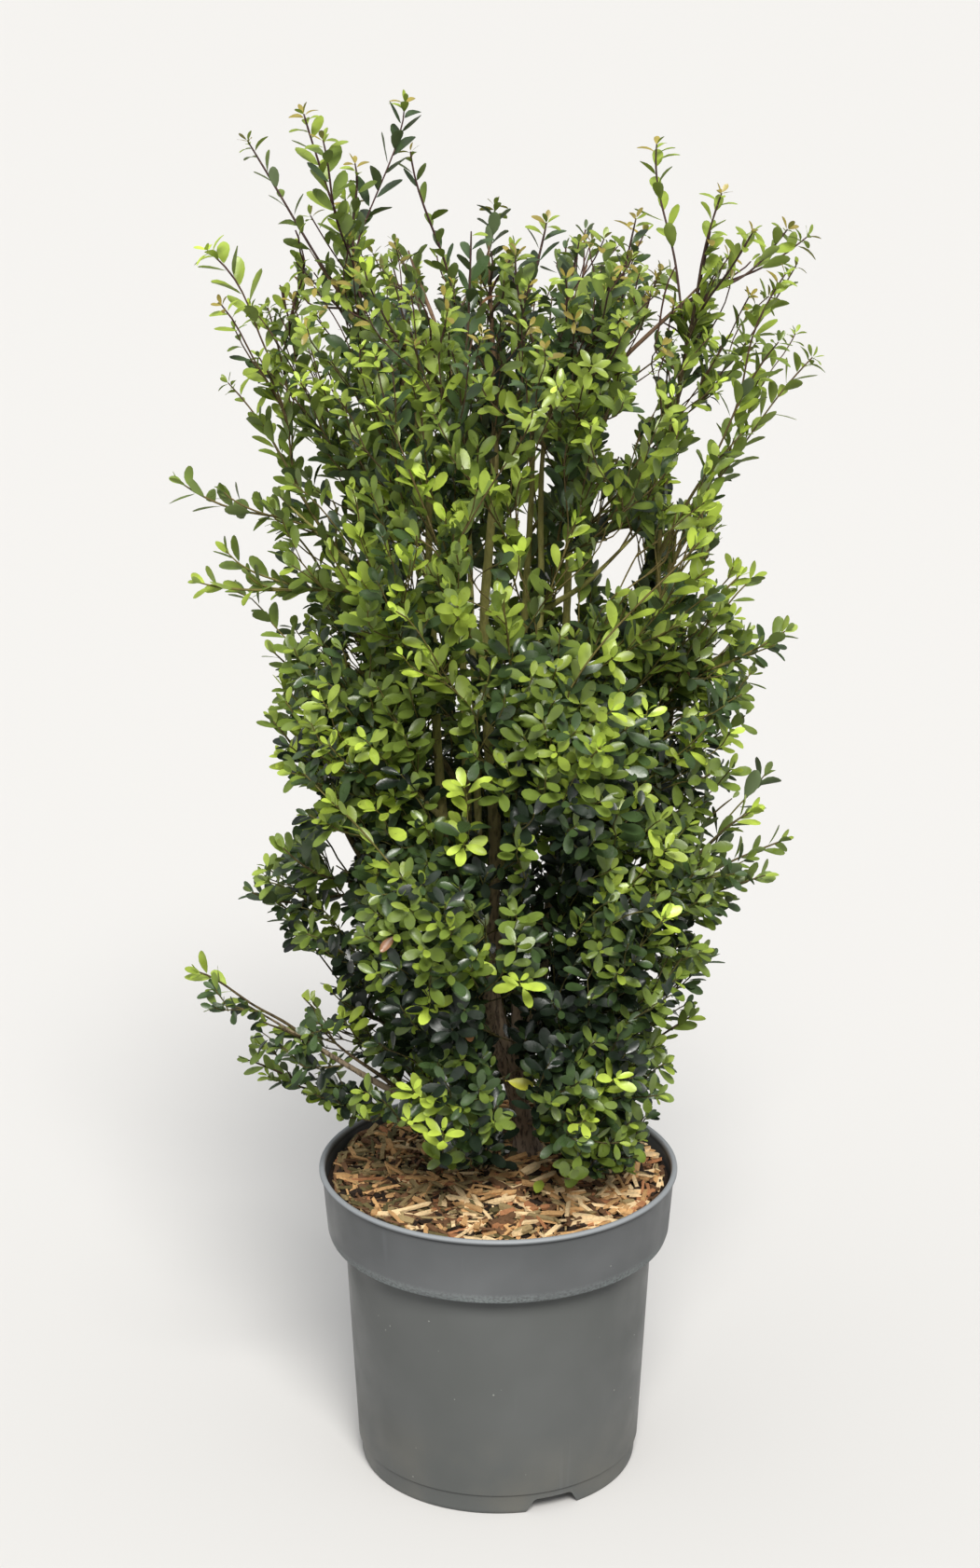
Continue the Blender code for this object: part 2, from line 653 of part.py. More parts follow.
def make_limbs(parts, cutters, masses, mass_objects):
    limbs = Limbs(parts, cutters, masses, mass_objects)
    make_trunk(limbs)
    for name, (parent, height, passes, mass_name, first, last) in BOUGHS.items():
        limbs.grow(name, parent, height, passes, mass_name, first, last)
    for name, (height, passes, mass_name) in LOW_BOUGHS.items():
        limbs.grow(name, "trunk", height, passes, mass_name, LOW_RADIUS, LOW_END_RADIUS)
    for name, (parent, height, mass_name) in SIDE_BOUGHS.items():
        limbs.grow(name, parent, height, (), mass_name, SIDE_RADIUS, SIDE_END_RADIUS)


def main():
    clear_scene()
    parts = new_collection("potted_japanese_holly")
    cutters = new_collection("cutters")
    make_pot(parts, cutters)
    make_compost(parts)
    make_chips(parts, cutters)
    masses, mass_objects = make_foliage(parts)
    make_limbs(parts, cutters, masses, mass_objects)


main()
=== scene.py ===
import json
import math

import bmesh
import bpy
import numpy as np
from mathutils import Matrix, Vector, noise

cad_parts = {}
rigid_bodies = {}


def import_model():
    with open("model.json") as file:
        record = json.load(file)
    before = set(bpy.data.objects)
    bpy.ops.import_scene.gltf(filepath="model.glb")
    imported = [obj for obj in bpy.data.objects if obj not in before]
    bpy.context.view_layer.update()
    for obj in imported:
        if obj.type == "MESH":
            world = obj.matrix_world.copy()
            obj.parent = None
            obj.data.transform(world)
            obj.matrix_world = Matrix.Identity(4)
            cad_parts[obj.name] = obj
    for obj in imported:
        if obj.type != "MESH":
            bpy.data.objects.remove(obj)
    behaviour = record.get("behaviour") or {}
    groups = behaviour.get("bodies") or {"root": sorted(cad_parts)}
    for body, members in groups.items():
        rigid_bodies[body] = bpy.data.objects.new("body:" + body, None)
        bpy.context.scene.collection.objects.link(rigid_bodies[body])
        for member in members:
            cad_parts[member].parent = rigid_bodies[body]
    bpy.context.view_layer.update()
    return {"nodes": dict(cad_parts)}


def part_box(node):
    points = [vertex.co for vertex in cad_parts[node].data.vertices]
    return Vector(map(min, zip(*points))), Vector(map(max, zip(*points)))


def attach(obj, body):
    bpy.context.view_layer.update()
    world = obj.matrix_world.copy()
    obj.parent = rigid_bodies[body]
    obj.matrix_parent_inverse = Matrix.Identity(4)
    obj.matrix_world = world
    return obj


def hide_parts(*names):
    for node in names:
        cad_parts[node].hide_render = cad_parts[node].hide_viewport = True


for startup_object in list(bpy.data.objects):
    bpy.data.objects.remove(startup_object, do_unlink=True)
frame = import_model()

# Container: a round 15 litre nursery pot, injection moulded in grey polypropylene with a rolled lip, a
# deeper collar to lift it by, and a foot ring notched so that water gets out. Its collar is scuffed from
# being stacked.
POT_HEIGHT = 0.267
RIM_RADIUS = 0.150
LIP_HEIGHT = 0.0036
LIP_OVERHANG = 0.0025
COLLAR_BOTTOM = 0.206
COLLAR_TOP_RADIUS = 0.1475
COLLAR_LOW_RADIUS = 0.1435
BODY_TOP_RADIUS = 0.129
BODY_LOW_RADIUS = 0.1195
FOOT_BAND = 0.0187
FOOT_RADIUS = 0.1155
WALL = 0.003
FLOOR_UNDERSIDE = 0.0135
POT_STEPS = 176
NOTCH_COUNT = 3
NOTCH_FIRST_DEG = -67.0
NOTCH_LOW_WIDTH = 0.050
NOTCH_TOP_WIDTH = 0.033
NOTCH_HEIGHT = 0.0125
NOTCH_DEPTH = 0.016
NOTCH_ROUNDING = 0.003
DRAIN_COUNT = 6
DRAIN_RING = 0.078
DRAIN_RADIUS = 0.008
DRAIN_STEPS = 28
CORNER_ROUNDING = 0.0007
SHARP_FROM_DEG = 38


def linear(red, green, blue):
    """A colour named by its display values from 0 to 255, as the shader takes it."""
    shares = [value / 255 for value in (red, green, blue)]
    return tuple(s / 12.92 if s <= 0.04045 else ((s + 0.055) / 1.055) ** 2.4 for s in shares) + (1.0,)


def add_node(tree, kind, inputs=None, **settings):
    """A node with its settings, and its inputs as plain values or as the outputs that feed them."""
    node = tree.nodes.new(kind)
    for name, value in settings.items():
        setattr(node, name, value)
    for name, value in (inputs or {}).items():
        if isinstance(value, bpy.types.NodeSocket):
            tree.links.new(value, node.inputs[name])
        else:
            node.inputs[name].default_value = value
    return node


def new_material(name, colour, roughness, specular=0.5):
    """A Principled material, with its tree, its shader and the object's own coordinates."""
    material = bpy.data.materials.new(name)
    material.use_nodes = True
    tree = material.node_tree
    shader = tree.nodes["Principled BSDF"]
    shader.inputs["Base Color"].default_value = colour
    shader.inputs["Roughness"].default_value = roughness
    shader.inputs["Specular IOR Level"].default_value = specular
    place = tree.nodes.new("ShaderNodeTexCoord").outputs["Object"]
    return material, tree, shader, place


def noise_of(tree, place, scale, detail=3.0, stretch=None):
    """Noise from about 0.3 to 0.7 at a scale in features per metre, stretched along an axis if asked."""
    if stretch is not None:
        place = add_node(tree, "ShaderNodeMapping", {"Vector": place, "Scale": stretch}).outputs["Vector"]
    inputs = {"Vector": place, "Scale": scale, "Detail": detail}
    return add_node(tree, "ShaderNodeTexNoise", inputs).outputs["Fac"]


def ramp_of(tree, factor, stops):
    """A colour ramp over (position, colour) stops."""
    node = add_node(tree, "ShaderNodeValToRGB", {"Fac": factor})
    elements = node.color_ramp.elements
    while len(elements) < len(stops):
        elements.new(0.5)
    for element, (position, colour) in zip(elements, stops):
        element.position = position
        element.color = colour
    return node.outputs["Color"]


def range_of(tree, value, low, high, to_low=0.0, to_high=1.0):
    """A value carried from one range to another, held at the ends."""
    inputs = {"Value": value, "From Min": low, "From Max": high, "To Min": to_low, "To Max": to_high}
    return add_node(tree, "ShaderNodeMapRange", inputs).outputs["Result"]


def mixed(tree, factor, first, second, blend="MIX"):
    """Two colours mixed."""
    node = tree.nodes.new("ShaderNodeMix")
    node.data_type = "RGBA"
    node.blend_type = blend
    for socket, value in ((node.inputs[0], factor), (node.inputs[6], first), (node.inputs[7], second)):
        if isinstance(value, bpy.types.NodeSocket):
            tree.links.new(value, socket)
        else:
            socket.default_value = value
    return node.outputs[2]


def combined(tree, operation, first, second):
    """Two numbers combined."""
    node = add_node(tree, "ShaderNodeMath", operation=operation)
    for socket, value in zip(node.inputs, (first, second)):
        if isinstance(value, bpy.types.NodeSocket):
            tree.links.new(value, socket)
        else:
            socket.default_value = value
    return node.outputs["Value"]


def times(tree, first, second):
    """Two numbers multiplied."""
    return combined(tree, "MULTIPLY", first, second)


def band_of(tree, height, rise, fall):
    """One within a band of heights that starts over its rise and ends over its fall."""
    return times(tree, range_of(tree, height, *rise), range_of(tree, height, *fall))


def bumped(tree, shader, height, strength, distance):
    """Relief finer than the mesh, in metres."""
    inputs = {"Height": height, "Strength": strength, "Distance": distance}
    tree.links.new(add_node(tree, "ShaderNodeBump", inputs).outputs["Normal"], shader.inputs["Normal"])


def new_object(name, mesh, material=None):
    """An object in the scene's own collection."""
    obj = bpy.data.objects.new(name, mesh)
    bpy.context.scene.collection.objects.link(obj)
    if material is not None:
        mesh.materials.append(material)
    return obj


def object_from(form, name):
    """An object with the form's faces, and the form freed."""
    mesh = bpy.data.meshes.new(name)
    form.to_mesh(mesh)
    form.free()
    return new_object(name, mesh)


def settle(obj):
    """Turns the object's modifiers into a plain mesh of its own."""
    bpy.context.view_layer.update()
    graph = bpy.context.evaluated_depsgraph_get()
    mesh = bpy.data.meshes.new_from_object(obj.evaluated_get(graph), depsgraph=graph)
    obj.modifiers.clear()
    obj.data = mesh
    mesh.name = obj.name
    return obj


def rounded(profile, reach):
    """A profile of (radius, height) points with its inner corners rounded over that reach."""
    points = [Vector(point) for point in profile]
    made = [points[0]]
    for before, corner, after in zip(points, points[1:], points[2:]):
        cut = min(reach, (corner - before).length * 0.45, (after - corner).length * 0.45)
        start = corner + (before - corner).normalized() * cut
        end = corner + (after - corner).normalized() * cut
        made += [start, start * 0.25 + corner * 0.5 + end * 0.25, end]
    return made + [points[-1]]


def outer_wall_radius(height):
    """Outside radius of the container's body between its foot band and its collar."""
    share = (height - FOOT_BAND) / (COLLAR_BOTTOM - FOOT_BAND)
    return BODY_LOW_RADIUS + (BODY_TOP_RADIUS - BODY_LOW_RADIUS) * share


def inner_profile():
    """Inside of the container from the middle of its floor up to the rim."""
    floor_top = FLOOR_UNDERSIDE + WALL
    shoulder = COLLAR_BOTTOM + WALL
    return [
        (0.0, floor_top),
        (outer_wall_radius(floor_top) - WALL, floor_top),
        (BODY_TOP_RADIUS - WALL, shoulder),
        (COLLAR_LOW_RADIUS - WALL, shoulder),
        (COLLAR_TOP_RADIUS - WALL, POT_HEIGHT - LIP_HEIGHT),
        (COLLAR_TOP_RADIUS - WALL + 0.0012, POT_HEIGHT - 0.0004),
    ]


def outer_profile():
    """Outside of the container from the rim down to the middle of the floor's underside."""
    foot_inner = FOOT_RADIUS - WALL
    return [
        (RIM_RADIUS - 0.0020, POT_HEIGHT),
        (RIM_RADIUS, POT_HEIGHT - 0.0016),
        (RIM_RADIUS, POT_HEIGHT - LIP_HEIGHT),
        (RIM_RADIUS - LIP_OVERHANG, POT_HEIGHT - LIP_HEIGHT - 0.0002),
        (COLLAR_LOW_RADIUS, COLLAR_BOTTOM + 0.007),
        (COLLAR_LOW_RADIUS - 0.0015, COLLAR_BOTTOM + 0.0022),
        (COLLAR_LOW_RADIUS - 0.0050, COLLAR_BOTTOM),
        (BODY_TOP_RADIUS + 0.0012, COLLAR_BOTTOM),
        (BODY_TOP_RADIUS, COLLAR_BOTTOM - 0.0030),
        (BODY_LOW_RADIUS, FOOT_BAND),
        (BODY_LOW_RADIUS - 0.0015, FOOT_BAND - 0.0006),
        (FOOT_RADIUS + 0.0012, 0.0030),
        (FOOT_RADIUS, 0.0),
        (foot_inner, 0.0),
        (foot_inner, FLOOR_UNDERSIDE),
        (0.0, FLOOR_UNDERSIDE),
    ]


def water_ways():
    """Blocks for the foot notches and pegs for the holes in the floor, as one cutter."""
    form = bmesh.new()
    for index in range(NOTCH_COUNT):
        verts = bmesh.ops.create_cube(form, size=1.0)["verts"]
        for vert in verts:
            width = NOTCH_TOP_WIDTH if vert.co.z > 0 else NOTCH_LOW_WIDTH
            height = NOTCH_HEIGHT if vert.co.z > 0 else -0.002
            vert.co = Vector((vert.co.x * NOTCH_DEPTH + FOOT_RADIUS, vert.co.y * width, height))
        edges = dict.fromkeys(edge for vert in verts for edge in vert.link_edges)
        top_corners = [
            edge for edge in edges
            if min(vert.co.z for vert in edge.verts) > 0
            and abs(edge.verts[0].co.y - edge.verts[1].co.y) < 1e-6
        ]
        bevel = bmesh.ops.bevel(
            form, geom=top_corners, offset=NOTCH_ROUNDING, segments=4, affect="EDGES", profile=0.5,
        )
        block = {vert for face in bevel["faces"] for vert in face.verts}
        block |= {vert for vert in verts if vert.is_valid}
        turn = Matrix.Rotation(math.radians(NOTCH_FIRST_DEG + index * 360.0 / NOTCH_COUNT), 4, "Z")
        bmesh.ops.transform(form, matrix=turn, verts=list(block))
    for index in range(DRAIN_COUNT):
        around = math.tau * index / DRAIN_COUNT
        place = (math.cos(around) * DRAIN_RING, math.sin(around) * DRAIN_RING, FLOOR_UNDERSIDE + WALL / 2)
        bmesh.ops.create_cone(
            form, cap_ends=True, segments=DRAIN_STEPS, radius1=DRAIN_RADIUS, radius2=DRAIN_RADIUS,
            depth=WALL * 4, matrix=Matrix.Translation(place),
        )
    return object_from(form, "water_ways")


def container_plastic():
    """Mid grey, a little mottled, with chalky rubs low on the collar, specks, scratches and dust low down, a
    painted highlight on the top of the lip, and painted shade under the lip and under the step to the foot.
    """
    material, tree, shader, place = new_material("grey_moulded_plastic", linear(98, 100, 102), 0.5, 0.45)
    height = add_node(tree, "ShaderNodeSeparateXYZ", {"Vector": place}).outputs["Z"]
    mottle = ramp_of(tree, noise_of(tree, place, 9.0), [
        (0.30, linear(91, 94, 94)), (0.52, linear(101, 103, 104)), (0.72, linear(113, 115, 116)),
    ])
    body = range_of(tree, height, COLLAR_BOTTOM - 0.001, COLLAR_BOTTOM + 0.001)
    colour = mixed(tree, body, mixed(tree, 0.5, mottle, linear(103, 105, 100)), mottle)
    # Painted highlight: the top of the lip is painted paler, where light catches the rolled edge.
    painted_lip_highlight = range_of(tree, height, POT_HEIGHT - 0.0030, POT_HEIGHT - 0.0014, 0.0, 0.80)
    colour = mixed(tree, painted_lip_highlight, colour, linear(158, 162, 166))
    rub_band = band_of(
        tree, height, (COLLAR_BOTTOM - 0.0005, COLLAR_BOTTOM + 0.0020),
        (COLLAR_BOTTOM + 0.011, COLLAR_BOTTOM + 0.003),
    )
    chalk = range_of(tree, noise_of(tree, place, 420.0, 5.0, (1.0, 1.0, 1.6)), 0.36, 0.58)
    patches = range_of(tree, noise_of(tree, place, 16.0, 2.0), 0.30, 0.62, 0.45, 1.0)
    rub = times(tree, rub_band, times(tree, chalk, patches))
    colour = mixed(tree, times(tree, rub, 0.95), colour, linear(160, 168, 166))
    lip_foot = POT_HEIGHT - LIP_HEIGHT
    # Painted shade: a dark band painted just under the lip's overhang.
    painted_shade_under_lip = band_of(
        tree, height, (lip_foot - 0.0030, lip_foot - 0.0018), (lip_foot + 0.0002, lip_foot - 0.0004),
    )
    colour = mixed(tree, times(tree, painted_shade_under_lip, 0.65), colour, linear(52, 54, 57))
    # Painted shade: a darker band painted under the step down to the foot band.
    painted_shade_under_foot_step = band_of(
        tree, height, (FOOT_BAND - 0.0022, FOOT_BAND - 0.0008), (FOOT_BAND + 0.0006, FOOT_BAND - 0.0004),
    )
    colour = mixed(tree, times(tree, painted_shade_under_foot_step, 0.40), colour, linear(58, 60, 60))
    dust_band = range_of(tree, height, 0.085, 0.015, 0.0, 0.5)
    dust = times(tree, dust_band, range_of(tree, noise_of(tree, place, 17.0, 6.0), 0.42, 0.70))
    colour = mixed(tree, dust, colour, linear(128, 124, 112))
    speck_cells = add_node(tree, "ShaderNodeTexVoronoi", {"Vector": place, "Scale": 95.0})
    speck = range_of(tree, speck_cells.outputs["Distance"], 0.085, 0.045)
    rare = range_of(tree, noise_of(tree, place, 31.0, 1.0), 0.60, 0.64)
    colour = mixed(tree, times(tree, speck, rare), colour, linear(176, 176, 168))
    scratch = range_of(tree, noise_of(tree, place, 60.0, 2.0, (1.0, 1.0, 0.06)), 0.68, 0.75, 0.0, 0.16)
    colour = mixed(tree, scratch, colour, linear(140, 143, 146))
    tree.links.new(colour, shader.inputs["Base Color"])
    roughness = range_of(tree, noise_of(tree, place, 24.0), 0.3, 0.7, 0.40, 0.60)
    roughness = combined(tree, "ADD", roughness, times(tree, rub, 0.25))
    tree.links.new(roughness, shader.inputs["Roughness"])
    grain = noise_of(tree, place, 1400.0, 2.0)
    flow = noise_of(tree, place, 34.0, 3.0, (1.0, 1.0, 0.25))
    bumped(tree, shader, combined(tree, "ADD", grain, times(tree, flow, 4.0)), 0.5, 0.00012)
    return material


pot_profile = rounded(inner_profile() + outer_profile(), CORNER_ROUNDING)
pot_mesh = bpy.data.meshes.new("container")
pot_edges = [(i, i + 1) for i in range(len(pot_profile) - 1)]
pot_mesh.from_pydata([(point.x, 0.0, point.y) for point in pot_profile], pot_edges, [])
container = new_object("container", pot_mesh, container_plastic())
turn = container.modifiers.new("turn", "SCREW")
turn.axis = "Z"
turn.steps = POT_STEPS
turn.render_steps = POT_STEPS
turn.use_merge_vertices = True
turn.merge_threshold = 0.00005
cutter = water_ways()
cut = container.modifiers.new("cut", "BOOLEAN")
cut.operation = "DIFFERENCE"
cut.solver = "EXACT"
cut.object = cutter
settle(container)
bpy.data.objects.remove(cutter, do_unlink=True)
container.data.shade_smooth()
container.data.set_sharp_from_angle(angle=math.radians(SHARP_FROM_DEG))
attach(container, "root")
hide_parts("pot")

# Compost: dark moist peat and bark fines that fill the pot. It shows only as black gaps between the chips and
# through the drainage holes, so it keeps its own solid and gets a crumbly finish.
compost_material, tree, shader, place = new_material("moist_compost", linear(38, 28, 20), 0.95, 0.25)
crumbs = noise_of(tree, place, 260.0, 6.0)
crumb_colours = [(0.32, linear(18, 13, 10)), (0.55, linear(42, 31, 22)), (0.75, linear(74, 58, 40))]
tree.links.new(ramp_of(tree, crumbs, crumb_colours), shader.inputs["Base Color"])
bumped(tree, shader, crumbs, 1.0, 0.0015)
compost = frame["nodes"]["compost"]
compost.data.materials.clear()
compost.data.materials.append(compost_material)

# Mulch: a layer of shredded wood chips, mostly tan, with paler heartwood, brown bark and some that algae has
# turned olive. The chips lie loose and overlap. The darkest kinds lie lowest and the palest highest, which is
# painted shade down among the chips, and the pale, tan and rust chips gather on the right, which is painted
# light on that side. The layer's own solid is the dark bed between and under them.
CHIPS_EDGE = 0.2535
CHIPS_MIDDLE = 0.2605
CHIPS_UNEVEN = 0.0025
CHIPS_HUMPS = 28.0  # per metre
MULCH_REACH = 0.1410
CHIP_SIZES = (0.65, 1.3)
TRUNK_FOOT = Vector((0.025, 0.030, 0.2602))
CHIP_FORMS = {  # length, width, thickness, bend
    "splinter": (0.0205, 0.0036, 0.0021, 0.0004),
    "sliver": (0.0270, 0.0025, 0.0016, -0.0006),
    "chunk": (0.0118, 0.0056, 0.0030, 0.0),
    "shred": (0.0150, 0.0019, 0.0012, 0.0005),
    "crumb": (0.0062, 0.0033, 0.0022, 0.0),
    "block": (0.0230, 0.0080, 0.0036, 0.0),
}
# Darker kinds have a lower highest lift and paler kinds a higher one, as painted shade down among the chips;
# the lean to the right gathers the pale, tan and rust chips on the right, as painted light on that side.
CHIP_KINDS = {  # how many, size, highest lift, tilt, share of each form, lean to the right, colour
    "chips_black": (560, 1.00, 0.0030, 0.50, (4, 3, 3, 3, 3, 0), -0.2, linear(48, 36, 28)),
    "chips_brown": (720, 1.00, 0.0044, 0.46, (5, 3, 3, 2, 2, 0), -0.1, linear(118, 86, 60)),
    "chips_moss": (340, 0.95, 0.0046, 0.46, (5, 3, 1, 4, 1, 0), -0.9, linear(106, 96, 62)),
    "chips_olive": (440, 0.98, 0.0054, 0.44, (5, 3, 1, 4, 1, 0), -0.6, linear(164, 142, 100)),
    "chips_rust": (220, 0.95, 0.0050, 0.46, (3, 1, 4, 2, 2, 0), 0.3, linear(182, 126, 86)),
    "chips_tan": (430, 1.05, 0.0060, 0.44, (7, 3, 2, 2, 1, 0), 0.2, linear(214, 168, 114)),
    "chips_pale": (190, 1.15, 0.0066, 0.38, (6, 4, 2, 1, 0, 1), 0.9, linear(250, 218, 168)),
}
mulch_random = np.random.default_rng(7)


def tree_with(name, sockets):
    """An empty Geometry Nodes tree that takes and gives a mesh, with named inputs, and its two ends."""
    tree = bpy.data.node_groups.new(name, "GeometryNodeTree")
    tree.interface.new_socket("Mesh", in_out="INPUT", socket_type="NodeSocketGeometry")
    for socket_name, kind in sockets:
        tree.interface.new_socket(socket_name, in_out="INPUT", socket_type="NodeSocket" + kind)
    tree.interface.new_socket("Mesh", in_out="OUTPUT", socket_type="NodeSocketGeometry")
    return tree, tree.nodes.new("NodeGroupInput").outputs, tree.nodes.new("NodeGroupOutput").inputs


def grown(obj, tree, values):
    """Runs the tree on the object with the named inputs and leaves a plain mesh."""
    modifier = obj.modifiers.new(tree.name, "NODES")
    modifier.node_group = tree
    for item in tree.interface.items_tree:
        if item.item_type == "SOCKET" and item.in_out == "INPUT" and item.name in values:
            modifier[item.identifier] = values[item.name]
    return settle(obj)


def attribute_of(tree, name, kind):
    """What is stored under a name at each point."""
    node = add_node(tree, "GeometryNodeInputNamedAttribute", {"Name": name}, data_type=kind)
    return node.outputs["Attribute"]


def finished(tree, geometry, material):
    """The last steps of every tree: the instances realized and the material set."""
    real = add_node(tree, "GeometryNodeRealizeInstances", {"Geometry": geometry}).outputs["Geometry"]
    coated = add_node(tree, "GeometryNodeSetMaterial", {"Geometry": real, "Material": material})
    return coated.outputs["Geometry"]


def dealing_tree(name, form_count):
    """Small forms set on points by the turn, size and form stored at each."""
    sockets = [(f"Form {i}", "Object") for i in range(form_count)] + [("Material", "Material")]
    tree, given, made = tree_with(name, sockets)
    joined = tree.nodes.new("GeometryNodeJoinGeometry")
    for i in reversed(range(form_count)):
        form = add_node(tree, "GeometryNodeObjectInfo", {"Object": given[f"Form {i}"], "As Instance": True})
        tree.links.new(form.outputs["Geometry"], joined.inputs[0])
    turn = attribute_of(tree, "turn", "FLOAT_VECTOR")
    placed = add_node(tree, "GeometryNodeInstanceOnPoints", {
        "Points": given["Mesh"], "Instance": joined.outputs[0], "Pick Instance": True,
        "Instance Index": attribute_of(tree, "form", "INT"),
        "Rotation": add_node(tree, "FunctionNodeEulerToRotation", {"Euler": turn}).outputs["Rotation"],
        "Scale": attribute_of(tree, "size", "FLOAT_VECTOR"),
    }).outputs["Instances"]
    tree.links.new(finished(tree, placed, given["Material"]), made["Mesh"])
    return tree


def dealt(name, tree, forms, places, material):
    """One joined piece from (point, turn, size, form) places."""
    mesh = bpy.data.meshes.new(name)
    mesh.from_pydata([tuple(place[0]) for place in places], [], [])
    for attribute, kind, column, field in (
        ("turn", "FLOAT_VECTOR", 1, "vector"), ("size", "FLOAT_VECTOR", 2, "vector"),
        ("form", "INT", 3, "value"),
    ):
        stored = mesh.attributes.new(attribute, kind, "POINT")
        stored.data.foreach_set(field, np.array([place[column] for place in places]).ravel())
    values = {f"Form {i}": form for i, form in enumerate(forms)}
    return grown(new_object(name, mesh), tree, values | {"Material": material})


def chip_form(name, length, width, thickness, bend):
    """One splinter: a bent strip with torn ends and uneven sides."""
    form = bmesh.new()
    rings = []
    for i in range(3):
        along = i - 1
        taper = 1.0 - 0.12 * abs(along)
        ring = []
        for across, up in ((-1, -1), (1, -1), (1, 1), (-1, 1)):
            tear = mulch_random.uniform(-0.10, 0.10) * length * abs(along)
            rough = mulch_random.uniform(0.84, 1.10)
            ring.append(form.verts.new((
                along * length / 2 + tear,
                across * width / 2 * taper * rough,
                up * thickness / 2 * taper * rough + bend * (1 - along * along),
            )))
        rings.append(ring)
    for first, second in zip(rings, rings[1:]):
        for i in range(4):
            form.faces.new((first[i], second[i], second[(i + 1) % 4], first[(i + 1) % 4]))
    form.faces.new(rings[0])
    form.faces.new(reversed(rings[-1]))
    bmesh.ops.recalc_face_normals(form, faces=form.faces)
    return object_from(form, name)


def chips_height(x, y):
    """Height of the mulch: domed and uneven."""
    dome = CHIPS_MIDDLE - (CHIPS_MIDDLE - CHIPS_EDGE) * (math.hypot(x, y) / MULCH_REACH) ** 2
    return dome + CHIPS_UNEVEN * noise.noise(Vector((x, y, 0.0)) * CHIPS_HUMPS)


def chip_places(count, size, lift, tilt, form_shares, lean):
    """Chips dealt out at random in any heading, but turned along the wall where they would run through it."""
    places = []
    lengths = [values[0] for values in CHIP_FORMS.values()]
    shares = np.array(form_shares) / sum(form_shares)
    while len(places) < count:
        x, y = mulch_random.uniform(-MULCH_REACH, MULCH_REACH, 2)
        reach = math.hypot(x, y)
        # The lean gathers each kind to the right or the left: the paler kinds on the right are painted light.
        likely = 0.5 + lean * (x - 0.6 * y) / MULCH_REACH * 0.6
        if mulch_random.random() > likely or reach > MULCH_REACH - 0.003:
            continue
        form = int(mulch_random.choice(len(lengths), p=shares))
        scale = size * mulch_random.uniform(*CHIP_SIZES)
        around = math.atan2(y, x)
        heading = mulch_random.uniform(0.0, math.tau)
        half = lengths[form] * scale * 0.58
        if reach + half * abs(math.cos(heading - around)) > MULCH_REACH:
            heading = around + math.pi / 2 + mulch_random.uniform(-0.15, 0.15)
            if math.hypot(reach, half) > MULCH_REACH + 0.0015:
                continue
        # The kind's highest lift keeps the darker chips low, as painted shade.
        z = chips_height(x, y) + mulch_random.uniform(-0.0006, lift)
        turn = (mulch_random.uniform(-tilt, tilt), mulch_random.uniform(-tilt, tilt) * 0.7, heading)
        places.append(((x, y, z), turn, (scale, scale, scale), form))
    return places


def wood_finish(name, colour, roughness=0.85):
    """Split wood: one colour with darker fibres and stains."""
    material, tree, shader, place = new_material(name, colour, roughness, 0.3)
    fibres = noise_of(tree, place, 420.0, 4.0)
    shade = [value * 0.34 for value in colour[:3]] + [1.0]
    stains = range_of(tree, noise_of(tree, place, 60.0, 2.0), 0.45, 0.75, 0.0, 0.40)
    surface = mixed(tree, stains, colour, shade)
    surface = mixed(tree, range_of(tree, fibres, 0.48, 0.72, 0.0, 0.45), surface, shade)
    tree.links.new(surface, shader.inputs["Base Color"])
    bumped(tree, shader, fibres, 0.8, 0.0006)
    return material


chip_forms = [chip_form(name, *values) for name, values in CHIP_FORMS.items()]
chip_tree = dealing_tree("chips_dealt", len(chip_forms))
for kind, (count, size, lift, tilt, form_shares, lean, colour) in CHIP_KINDS.items():
    places = chip_places(count, size, lift, tilt, form_shares, lean)
    chips = dealt(kind, chip_tree, chip_forms, places, wood_finish(kind + "_wood", colour))
    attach(chips, "root")
for form in chip_forms:
    bpy.data.objects.remove(form, do_unlink=True)
mulch_bed = frame["nodes"]["wood_chips"]
mulch_bed.data.materials.clear()
mulch_bed.data.materials.append(wood_finish("mulch_bed_wood", linear(44, 32, 24), 0.95))

# Trunk and boughs: the living stems, which fork just over the mulch and climb through the bare middle of
# the crown. The bark is grey-brown and finely cracked at the foot, and turns smooth and olive on the
# younger wood. Its colours are painted lighter than the bark's own, as painted light on the trunk and stems
# that stand in the crown's shade.
TRUNK_FORK = Vector((0.011, 0.018, 0.342))
TRUNK_RADIUS = 0.0092
TRUNK_TOP_RADIUS = 0.0080
FLARE_RADIUS = 0.0165
FLARE_HEIGHT = 0.022
WOOD_STEP = 0.004
TRUNK_STEP = 0.0025
COLLAR_SWELL = 0.22
COLLAR_REACH = 0.006
WOOD_END_RADIUS = 0.0006
WOOD_END_TAPER = 0.020
SIDE_BOUGH_RADII = (0.0028, 0.0013)
SIDE_BOUGH_OUT = 0.45
SIDE_BOUGH_UP = 0.36
LOW_BOUGH_RADII = (0.0034, 0.0018)
BARK_SIDES = 16
TRUNK_RELIEF = (0.0016, 0.0024)  # depth of the furrows and of the swellings
BOUGH_RELIEF = (0.0005, 0.0012)
BARK_FURROWS = 260.0
BARK_SWELLINGS = 55.0
BARK_HEIGHTS = (0.26, 0.98)  # where the bark is oldest and youngest
